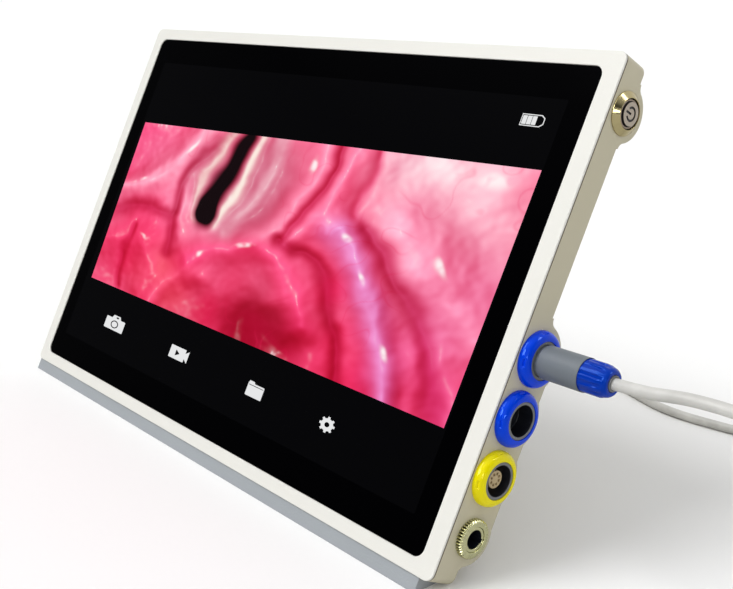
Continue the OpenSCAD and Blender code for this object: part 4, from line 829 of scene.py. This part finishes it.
SLIM, WIDE, RIBS = CABLE_D / 2 + 0.6, 0.75 * FAR_R, 5
rib_x = 16 * np.arange(1, 2 * RIBS + 1) / (2 * RIBS + 1)
rib_r = SLIM + (WIDE - SLIM) * np.arange(1, 2 * RIBS + 1) / (2 * RIBS + 1)
steps = [
    point for i in range(0, 2 * RIBS, 2) for point in (
        (rib_x[i], rib_r[i]), (rib_x[i], rib_r[i] - 0.3), (rib_x[i + 1], rib_r[i + 1] - 0.3),
        (rib_x[i + 1], rib_r[i + 1]))
]
boot = turned("handle_boot_turned", FAR, [
    (FAR_X + x, r) for x, r in [(0, 0), (0, SLIM), *steps, (16, WIDE), (16, 0)]
], 0.15, 96, place=upright)
dress(boot, plug_grey, "plug", "handle_plug_boot")

# %% [markdown]
# ## The screen
#
# The cover glass is black, printed behind and coated against reflections. The panel under it
# glows very faintly, so its field is a shade lighter than the border. In the middle it shows a
# camera picture of soft, wet tissue, which is painted here point by point from soft shapes, and
# round it five plain signs: a camera, a film camera, a folder, a toothed wheel and a battery.

# %% Glass
def glazed(name, colour, blot_mm, detail, lowest, **settings):
    """A dark, smooth face whose roughness rises from the lowest value to 0.09 in blots, as wiping
    leaves them."""
    made, tree, shader = finish_called(name, colour, IOR=1.5, Specular_IOR_Level=0.03, **settings)
    place = add(tree, "ShaderNodeTexCoord").outputs["Object"]
    blots = add(tree, "ShaderNodeTexNoise", {"Scale": MM / blot_mm, "Detail": detail}, {"Vector": place})
    rough = add(tree, "ShaderNodeMapRange", {
        "From Min": 0.35, "From Max": 0.7, "To Min": lowest, "To Max": 0.09}, {"Value": blots})
    join(shader, {"Roughness": rough})
    return made


glass = glazed("coated_cover_glass_black", "#010102", 60.0, 4.0, 0.03, Roughness=0.05)
recoat("cover_glass", glass)
print("glass:", glass.name)

# %% The dark field of the panel
GLASS_Z = -0.3


def flat(name, layers):
    """One mesh of flat faces that face out of the glass, each from an outline of (x, y) points and
    a height in mm."""
    rows = [np.column_stack([outline, np.full(len(outline), z)]) for outline, z in layers]
    points = np.concatenate(rows)
    faces = np.split(np.arange(len(points)), np.cumsum([len(row) for row in rows])[:-1])
    mesh = bpy.data.meshes.new(name)
    mesh.from_pydata(lean(points).tolist(), [], [face.tolist() for face in faces])
    return placed(name, mesh)


def corners(w, h, r, steps=6):
    """Outline of a rounded rectangle about the origin, against the clock: a quarter circle of radius
    r about each of the four points that lie r inside the corners."""
    a = np.radians(np.linspace(0, 90, steps + 1))
    quarter = np.stack([np.cos(a), np.sin(a)], axis=-1) * r
    out = []
    for k, (sx, sy) in enumerate(((1, 1), (-1, 1), (-1, -1), (1, -1))):
        turn_k = np.array([[0, 1], [-1, 0]]) if k % 2 else np.eye(2)
        arc = quarter @ turn_k * (1 if k < 2 else -1)
        out.append(arc + np.array([sx * (w / 2 - r), sy * (h / 2 - r)]))
    return np.concatenate(out)


panel = glazed("lcd_field_dark", "#020203", 30.0, 3.0, 0.04, Roughness=0.06,
               Emission_Color=linear("#060607"), Emission_Strength=0.6)
field = flat("screen_field", [(corners(234, 132, 0.6), GLASS_Z + 0.02)])
dress(field, panel, "tablet")

# %% [markdown]
# ## The camera's picture
#
# Such a camera shows the airway: a dark slot between pale cords, with soft pink folds round it,
# all wet and lit by a lamp beside the lens. No image file is used. The picture is a fine grid of
# points, each with a colour of its own: fields of colour are laid down first, then folds and
# hollows along smooth curves, which also raise and lower a relief. The relief gives the shade
# and the wet glints. The colours go into the mesh as an attribute, so they follow the surface.

# %% Tools for the picture
GRID_U, GRID_V = 440, 220
v0, u0 = np.meshgrid(np.linspace(0, 1, GRID_V), np.linspace(0, 1, GRID_U), indexing="ij")


def blurred(field, width):
    """A field smoothed by a bell of the given width, in picture widths. The field is mirrored at
    its edges, and the bell is applied to its spectrum: exp(-2 (pi width f) squared)."""
    pad = GRID_V // 2
    wide = np.pad(field, pad, mode="reflect")
    f_v = np.fft.fftfreq(wide.shape[0])[:, None] * GRID_U
    f_u = np.fft.fftfreq(wide.shape[1])[None, :] * GRID_U
    bell = np.exp(-2 * (math.pi * width) ** 2 * (f_u ** 2 + f_v ** 2))
    return np.fft.ifft2(np.fft.fft2(wide) * bell).real[pad:-pad, pad:-pad]


def cloud(width, seed):
    """Smooth irregular field about 0 with spread 1: white noise blurred to the given width."""
    field = blurred(np.random.default_rng(seed).standard_normal((GRID_V, GRID_U)), width)
    return field / field.std()


def lump(at, size, turn=0.0, sharp=2.0):
    """Soft spot: e to the minus d to the power sharp, where d is the distance from the middle in
    half sizes of an ellipse turned by some degrees. A larger power makes its edge steeper."""
    c, s = math.cos(math.radians(turn)), math.sin(math.radians(turn))
    x, y = u - at[0], (v - at[1]) * 0.5
    a, b = (x * c + y * s) / size[0], (y * c - x * s) / size[1]
    return np.exp(-((a * a + b * b) ** (sharp / 2)))


def ridge(points, width, sharp=2.0):
    """Soft line: e to the minus d to the power sharp, where d is the distance from a smooth curve
    through the points, in widths. It is the least of the distances to the curve's pieces."""
    line = between(between(np.array(points, float)))
    best = np.full(u.shape, 9.0)
    for (x0, y0), (x1, y1) in zip(line[:-1], line[1:]):
        dx, dy = x1 - x0, (y1 - y0) * 0.5
        t = np.clip(((u - x0) * dx + (v - y0) * 0.5 * dy) / (dx * dx + dy * dy), 0, 1)
        best = np.minimum(best, np.hypot(u - x0 - t * dx, (v - y0) * 0.5 - t * dy))
    return np.exp(-((best / width) ** sharp))


def paint(base, colour, share):
    """Lays a colour over an array of colours: the base plus a share of the difference."""
    return base + (np.array(linear(colour)[:3]) - base) * np.clip(share, 0, 1)[..., None]


print("picture grid:", GRID_U, "by", GRID_V, "points")

# %% Fields of colour
u = u0 + 0.006 * cloud(0.035, 1) + 0.002 * cloud(0.012, 2)
v = v0 + 0.012 * cloud(0.035, 3) + 0.004 * cloud(0.012, 4)
relief = 0.012 * cloud(0.06, 5) + 0.0035 * cloud(0.022, 6) + 0.0006 * cloud(0.006, 7)
tissue = np.ones((GRID_V, GRID_U, 3)) * np.array(linear("#ff6486")[:3])
tissue = paint(tissue, "#ff9bb0", 0.4 + 0.35 * cloud(0.05, 8))
tissue = paint(tissue, "#f03a68", 0.3 * cloud(0.03, 9))

# Broad fields of colour: where, half sizes, turn, colour, share
FIELDS = (
    ((0.86, 0.2), (0.24, 0.17), 20, "#ffc3cd", 0.95), ((0.8, 0.05), (0.12, 0.05), 0, "#ffe3e6", 0.8),
    ((0.62, 0.2), (0.1, 0.12), 0, "#ff93aa", 0.7), ((0.95, 0.62), (0.1, 0.12), 0, "#f7a2c4", 0.7),
    ((0.05, 0.8), (0.16, 0.14), 0, "#e23a5e", 0.8), ((0.04, 0.12), (0.13, 0.1), 0, "#f2648a", 0.7),
    ((0.5, 0.95), (0.24, 0.12), 0, "#c41a42", 0.85), ((0.24, 0.86), (0.1, 0.08), 20, "#ff8878", 0.5),
    ((0.14, 0.3), (0.1, 0.09), -40, "#ffa0b4", 0.7), ((0.4, 0.3), (0.16, 0.16), 0, "#cf8f98", 0.6),
)
for at, size, turn, colour, share in FIELDS:
    tissue = paint(tissue, colour, share * lump(at, size, turn, 2.4))
print("fields of colour:", len(FIELDS))

# %% Folds and hollows
# Folds: curve, half width, height, colour, share of the colour
FOLDS = (
    (((-0.06, 0.42), (0.06, 0.36), (0.16, 0.22), (0.22, 0.04), (0.24, -0.1)), 0.05, 0.055, "#ffa5b6", 0.75),
    (((-0.06, 0.74), (0.05, 0.68), (0.13, 0.72), (0.19, 0.86), (0.2, 1.06)), 0.05, 0.04, "#ee4f70", 0.7),
    (((0.56, -0.08), (0.57, 0.12), (0.55, 0.3), (0.5, 0.44), (0.45, 0.52)), 0.03, 0.05, "#ff8fa6", 0.8),
    (((0.65, -0.08), (0.64, 0.16), (0.61, 0.34), (0.55, 0.5)), 0.03, 0.04, "#ff7f9b", 0.7),
    (((0.3, 0.72), (0.37, 0.62), (0.46, 0.58), (0.55, 0.6), (0.62, 0.7), (0.65, 0.84)), 0.038, 0.06,
     "#f4527a", 0.8),
    (((0.66, 0.38), (0.71, 0.48), (0.77, 0.62), (0.84, 0.8), (0.9, 1.06)), 0.036, 0.07, "#dc93c2", 0.85),
    (((0.22, 1.06), (0.25, 0.9), (0.31, 0.8), (0.37, 0.76)), 0.03, 0.04, "#f2607c", 0.6),
    (((0.79, 0.3), (0.87, 0.44), (0.95, 0.56), (1.05, 0.66)), 0.05, 0.045, "#ffa3ba", 0.7),
    (((0.92, 0.78), (0.97, 0.9), (1.0, 1.05)), 0.04, 0.03, "#e9668e", 0.6),
)
for points, width, height, colour, share in FOLDS:
    shape = ridge(points, width)
    relief += height * shape
    tissue = paint(tissue, colour, share * shape)

# Hollows: curve, half width, depth, colour. They part the folds and are darker and redder.
HOLLOWS = (
    (((-0.05, 0.55), (0.05, 0.53), (0.13, 0.5), (0.2, 0.56), (0.235, 0.7)), 0.02, 0.03, "#b51747"),
    (((0.52, 0.5), (0.58, 0.52), (0.64, 0.56), (0.69, 0.68), (0.74, 0.84), (0.78, 1.05)), 0.018, 0.035,
     "#b4184a"),
    (((0.71, 0.36), (0.78, 0.46), (0.86, 0.6), (0.93, 0.76), (0.98, 1.0)), 0.02, 0.03, "#c43468"),
    (((0.6, -0.05), (0.605, 0.12), (0.585, 0.32), (0.53, 0.48)), 0.011, 0.02, "#cc2f5c"),
    (((0.29, -0.04), (0.24, 0.14), (0.2, 0.34), (0.2, 0.5)), 0.016, 0.03, "#a92246"),
    (((0.69, 0.0), (0.7, 0.14), (0.68, 0.3)), 0.012, 0.012, "#f0708e"),
    (((0.08, 0.62), (0.07, 0.78), (0.1, 0.98)), 0.012, 0.012, "#c92a50"),
)
parted = np.zeros_like(u)
for points, width, depth, colour in HOLLOWS:
    shape = ridge(points, width)
    parted = np.maximum(parted, shape)
    relief -= depth * shape
    tissue = paint(tissue, colour, 0.6 * shape)
print("folds:", len(FOLDS), "hollows:", len(HOLLOWS))

# %% The airway
# A dark passage between pale bands, inside a ring of greyer lining
lining = lump((0.37, 0.24), (0.155, 0.15), -8, 5)
tissue = paint(tissue, "#c9909a", 0.7 * lining)
relief -= 0.07 * lining
CORDS = (
    (((0.385, -0.08), (0.385, 0.1), (0.37, 0.3), (0.335, 0.48)), 0.02, "#efd3cb"),
    (((0.285, -0.02), (0.268, 0.14), (0.262, 0.32), (0.275, 0.48)), 0.016, "#e0b9b3"),
    (((0.445, -0.05), (0.45, 0.14), (0.43, 0.32), (0.375, 0.5)), 0.024, "#dca3ab"),
)
for points, width, colour in CORDS:
    shape = ridge(points, width, 2.6)
    relief += 0.02 * shape
    tissue = paint(tissue, colour, 0.75 * shape)
passage = np.clip(ridge(((0.335, 0.02), (0.325, 0.16), (0.312, 0.3), (0.3, 0.44)), 0.03, 4)
                  + lump((0.302, 0.44), (0.032, 0.045), 0, 4), 0, 1)
relief -= 0.08 * passage
cave = lump((0.55, 0.96), (0.11, 0.09), 0, 4)
tissue = paint(tissue, "#8c0f2e", 0.8 * cave)
relief -= 0.07 * cave

# Fine vessels: narrow bands where two smooth fields cross zero
net = np.exp(-(cloud(0.016, 11) / 0.12) ** 2) * np.clip(cloud(0.05, 12), 0, 1)
tissue = paint(tissue, "#e03560", 0.22 * net * (1 - lining))
print("cords:", len(CORDS))

# %% Light and wet glints
# Light from the lens: slopes that face it are bright, hollows lie in the shade of the folds round
# them, and the wet film mirrors the lamp where the slope is just right.
dh_dv, dh_du = np.gradient(relief, 0.5 / (GRID_V - 1), 1 / (GRID_U - 1))
normal = unit(np.stack([-dh_du, -dh_dv, np.ones_like(relief)], axis=-1))
towards = unit(np.stack([0.42 - u0, (0.1 - v0) * 0.5, np.full_like(u0, 0.75)], axis=-1))
facing = np.clip((normal * towards).sum(-1), 0, 1)
shaded = np.clip((blurred(relief, 0.022) - relief) / 0.03, -0.4, 1)
level = (0.4 + 0.78 * facing) * (1 - 0.4 * shaded)
tissue = tissue * level[..., None] ** np.array([0.6, 1.5, 1.25])
tissue = np.clip(tissue, 0, 1) ** np.array([0.8, 1.3, 1.12])
tissue = paint(tissue, "#12060a", 1.15 * passage)
half_way = unit(towards + [0.0, 0.0, 1.0])
glint = np.clip((normal * half_way).sum(-1), 0, 1) ** 900 * np.clip(0.2 + cloud(0.018, 13), 0, 1)
sheen = np.clip((normal * half_way).sum(-1), 0, 1) ** 60
tissue = paint(tissue, "#ffdfe4", 0.2 * sheen * (1 - passage) * (1 - parted))
# Bright spots of the lamp itself: where, half sizes, turn
SPOTS = (
    ((0.2, 0.1), (0.018, 0.006), -55), ((0.05, 0.34), (0.02, 0.006), -20),
    ((0.44, 0.57), (0.022, 0.007), -10), ((0.68, 0.41), (0.012, 0.007), 30),
    ((0.745, 0.56), (0.014, 0.005), 50), ((0.845, 0.8), (0.014, 0.006), 55),
    ((0.93, 0.07), (0.03, 0.014), 0), ((0.36, 0.34), (0.008, 0.004), 60),
    ((0.13, 0.68), (0.014, 0.005), 20), ((0.55, 0.12), (0.006, 0.016), 0),
    ((0.33, 0.66), (0.01, 0.005), -30), ((0.89, 0.45), (0.016, 0.006), 35),
)
spots = sum(lump(at, size, turn, 3) for at, size, turn in SPOTS)
spots *= np.clip(0.75 + 0.5 * cloud(0.006, 14), 0, 1)
open_share = (1 - passage) * (1 - parted)
tissue = paint(tissue, "#fff4f5", np.clip(0.6 * glint * open_share + 0.95 * spots, 0, 1))
print("mean colour:", tissue.mean(axis=(0, 1)).round(3))

# %% The picture on the panel
# Corners in the monitor's frame, in mm, from the upper left with the clock; a point between them
# is the mean of the four, weighted by its nearness to each.
PICTURE = np.array([(-114.9, 37.1), (116.6, 43.6), (116.1, -38.8), (-112.2, -37.9)])
a, b = u0[..., None], v0[..., None]
place_2d = (1 - b) * ((1 - a) * PICTURE[0] + a * PICTURE[1]) + b * (a * PICTURE[2] + (1 - a) * PICTURE[3])
sheet = np.concatenate([place_2d, np.full((GRID_V, GRID_U, 1), GLASS_Z + 0.04)], axis=-1)
picture = surface("camera_picture", lean(sheet))
shade = picture.data.color_attributes.new("tissue", "FLOAT_COLOR", "POINT")
wanted = np.concatenate([tissue, np.ones((GRID_V, GRID_U, 1))], axis=-1)
shade.data.foreach_set("color", wanted.reshape(-1).astype(np.float32))

lit, tree, shader = finish_called("lcd_picture_lit", "#050505", Roughness=0.06, IOR=1.5,
                                  Specular_IOR_Level=0.03, Emission_Strength=1.0)
painted = add(tree, "ShaderNodeAttribute", {"attribute_name": "tissue"})
join(shader, {"Emission Color": painted.outputs["Color"]})
dress(picture, lit, "tablet")

# %% [markdown]
# ## The signs
#
# The five signs are flat white shapes with dark shapes on them: each layer lies a hundredth of
# a millimetre above the last, which is enough to keep them from flickering and too little to
# show. The lit layers are one mesh and the dark layers another, so two materials serve them all.

# %% Outlines of the signs
def oval(rx, ry, count=28):
    """Outline of an ellipse about the origin: rx times cosine and ry times sine of the angle."""
    a = np.arange(count) * 2 * math.pi / count
    return np.stack([rx * np.cos(a), ry * np.sin(a)], axis=-1)


def block(x0, x1, y0, y1):
    """Outline of an upright rectangle."""
    return np.array([(x0, y0), (x1, y0), (x1, y1), (x0, y1)])


def cog(rx, ry, teeth=8):
    """Outline of a toothed wheel: the radius steps between 0.78 and 1, with short flanks."""
    a = (np.arange(teeth)[:, None] + np.array([-0.27, -0.17, 0.17, 0.27])).ravel() * 2 * math.pi / teeth
    r = np.tile([0.78, 1, 1, 0.78], teeth)
    return np.stack([rx * r * np.cos(a), ry * r * np.sin(a)], axis=-1)


# Each entry: place on the glass in mm, then (layer, outline) with odd layers lit and even ones dark
SIGNS = (
    ((-79.6, -53.0), (
        (1, corners(16, 5.1, 0.5)), (1, np.array([(-3.6, 2.5), (4.1, 2.5), (3.0, 3.9), (-2.4, 3.9)])),
        (2, oval(3.15, 1.7)), (3, oval(2.35, 1.25)), (2, oval(1.15, 0.36) + (1.0, 3.05)))),
    ((-26.4, -52.6), (
        (1, corners(11, 5.1, 0.3) - (1.2, 0)),
        (1, np.array([(4, -0.9), (6.7, -2.4), (6.7, 2.4), (4, 0.9)])),
        (2, np.array([(-2.5, -1.25), (0.5, 0), (-2.5, 1.25)])))),
    ((26.2, -52.9), (
        (1, corners(9.8, 4.8, 0.35) - (0, 0.3)),
        (1, np.array([(-4.7, 2), (-0.9, 2), (-1.6, 2.8), (-4.5, 2.8)])),
        (2, block(-4.4, 4.5, 1.25, 1.5)))),
    ((67.9, -52.9), ((1, cog(4.0, 2.75)), (2, oval(1.25, 0.85)))),
    ((106.2, 58.5), (
        (1, np.array([(-4.6, -1.95), (3.3, -1.95), (4.7, -1), (4.7, 1), (3.3, 1.95), (-4.6, 1.95)])),
        (2, np.array([(-4.3, -1.65), (3.1, -1.65), (4.35, -0.85), (4.35, 0.85), (3.1, 1.65), (-4.3, 1.65)])),
        (3, block(-4.05, -2.3, -1.4, 1.4)), (3, block(-2.1, -0.35, -1.4, 1.4)),
        (3, block(-0.15, 1.6, -1.4, 1.4)))),
)
print("signs:", len(SIGNS))

# %% Lay the signs on the panel
def signs(name, odd, coat):
    """The lit or the dark layers of all signs as one mesh, each layer 0.01 mm above the last."""
    layers = [
        (np.asarray(outline) + place_mm, GLASS_Z + 0.03 + 0.01 * layer)
        for place_mm, parts in SIGNS for layer, outline in parts if layer % 2 == odd
    ]
    dress(flat(name, layers), coat, "tablet")


lit_white, tree, shader = finish_called(
    "lcd_white_lit", "#0a0a0a", Roughness=0.06, IOR=1.5, Specular_IOR_Level=0.03, Emission_Strength=0.85)
place = add(tree, "ShaderNodeTexCoord").outputs["Object"]
uneven = add(tree, "ShaderNodeTexNoise", {"Scale": MM / 6.0}, {"Vector": place})
tint = add(tree, "ShaderNodeMix", {
    "data_type": "RGBA", 6: linear("#f4f6f8"), 7: linear("#fbfbfb")}, {0: uneven})
join(shader, {"Emission Color": tint.outputs[2]})
signs("screen_signs_lit", 1, lit_white)
signs("screen_signs_dark", 0, panel)

# %% [markdown]
# ## Floor, surroundings and lamp
#
# The monitor stands on a plain white floor that reaches far back, so the floor is the
# background as well. One large, soft, distant lamp stands in front, to the left and above: it
# lights the frame of the screen fully and leaves the side with the sockets in a soft half
# shade. The surroundings are an even pale light. Polished parts show more than that: a shiny
# ring looks shiny because it mirrors bright and dark places. So what mirrors see is a white
# backdrop and a lit ceiling that fade into a dim room in front, and five soft boxes, each a
# round patch with a soft edge, whose small reflections are the glints on rings and bezel.

# %% The floor
floor_mesh = bpy.data.meshes.new("floor")
floor_mesh.from_pydata([(-60, -60, 0), (60, -60, 0), (60, 60, 0), (-60, 60, 0)], [], [(0, 1, 2, 3)])
floor = placed("floor", floor_mesh)
paper, tree, shader = finish_called("studio_paper_white", "#dededc", Roughness=0.9, Specular_IOR_Level=0.1)
ray = add(tree, "ShaderNodeLightPath")
seen = add(tree, "ShaderNodeMix", {"data_type": "RGBA", 6: linear("#dededc"), 7: linear("#ffffff")},
           {0: ray.outputs["Is Camera Ray"]})
join(shader, {"Base Color": seen.outputs[2]})
floor_mesh.materials.append(paper)
print("floor:", floor.name)

# %% The surroundings
# Soft boxes that polished parts mirror: direction, half angles of the edge and the core, strength
SOFT_BOXES = (
    ((1.0, -0.9, 0.45), 24, 14, 0.9), ((0.05, -0.85, 0.54), 15, 9, 14.0), ((0.2, -0.5, 1.0), 20, 12, 0.8),
    ((0.89, -0.43, 0.16), 7, 4, 12.0), ((0.65, 0.45, 0.61), 11, 7, 9.0),
)
EVEN_LIGHT = 0.64

world = bpy.data.worlds.new("studio")
bpy.context.scene.world = world
world.use_nodes = True
tree = world.node_tree
tree.nodes.clear()
ray = add(tree, "ShaderNodeLightPath")
sight = add(tree, "ShaderNodeTexCoord").outputs["Generated"]
axes = add(tree, "ShaderNodeSeparateXYZ", links={"Vector": sight})
ceiling = add(tree, "ShaderNodeMapRange", {
    "From Min": 0.45, "From Max": 0.85, "To Min": 0.1, "To Max": 0.9}, {"Value": axes.outputs["Z"]})
backdrop = add(tree, "ShaderNodeMapRange", {
    "From Min": 0.1, "From Max": 0.5, "To Min": 0.0, "To Max": 0.9}, {"Value": axes.outputs["Y"]})
mirrored = add(tree, "ShaderNodeMath", {"operation": "MAXIMUM"}, {0: ceiling, 1: backdrop})
for towards, edge, core, strength in SOFT_BOXES:
    middle_line = unit(np.array(towards)).tolist()
    facing = add(tree, "ShaderNodeVectorMath", {"operation": "DOT_PRODUCT", 1: middle_line}, {0: sight})
    box = add(tree, "ShaderNodeMapRange", {
        "interpolation_type": "SMOOTHSTEP", "From Min": math.cos(math.radians(edge)),
        "From Max": math.cos(math.radians(core)), "To Min": 0.0, "To Max": strength,
    }, {"Value": facing.outputs["Value"]})
    mirrored = add(tree, "ShaderNodeMath", {"operation": "ADD"}, {0: mirrored, 1: box})
polished = add(tree, "ShaderNodeMix", {2: EVEN_LIGHT}, {0: ray.outputs["Is Glossy Ray"], 3: mirrored})
level = add(tree, "ShaderNodeMix", {3: 1.0}, {0: ray.outputs["Is Camera Ray"], 2: polished})
sky = add(tree, "ShaderNodeBackground", {"Color": linear("#ffffff")}, {"Strength": level})
add(tree, "ShaderNodeOutputWorld", links={"Surface": sky})
print("soft boxes:", len(SOFT_BOXES))

# %% The lamp
key_data = bpy.data.lights.new("key", "SUN")
key_data.energy, key_data.angle = 1.55, math.radians(34)
key = placed("key", key_data)
towards = unit(np.array([-0.35, -0.5, 0.8]))
level_arm = unit(np.cross([0, 0, 1], towards))
pose = np.eye(4)
pose[:3, 0], pose[:3, 1], pose[:3, 2] = level_arm, np.cross(towards, level_arm), towards
key.matrix_world = Matrix(pose.tolist())
print("lamp:", key.name, key_data.energy, "W per square metre")

view = bpy.context.scene.view_settings
view.view_transform = "Standard"
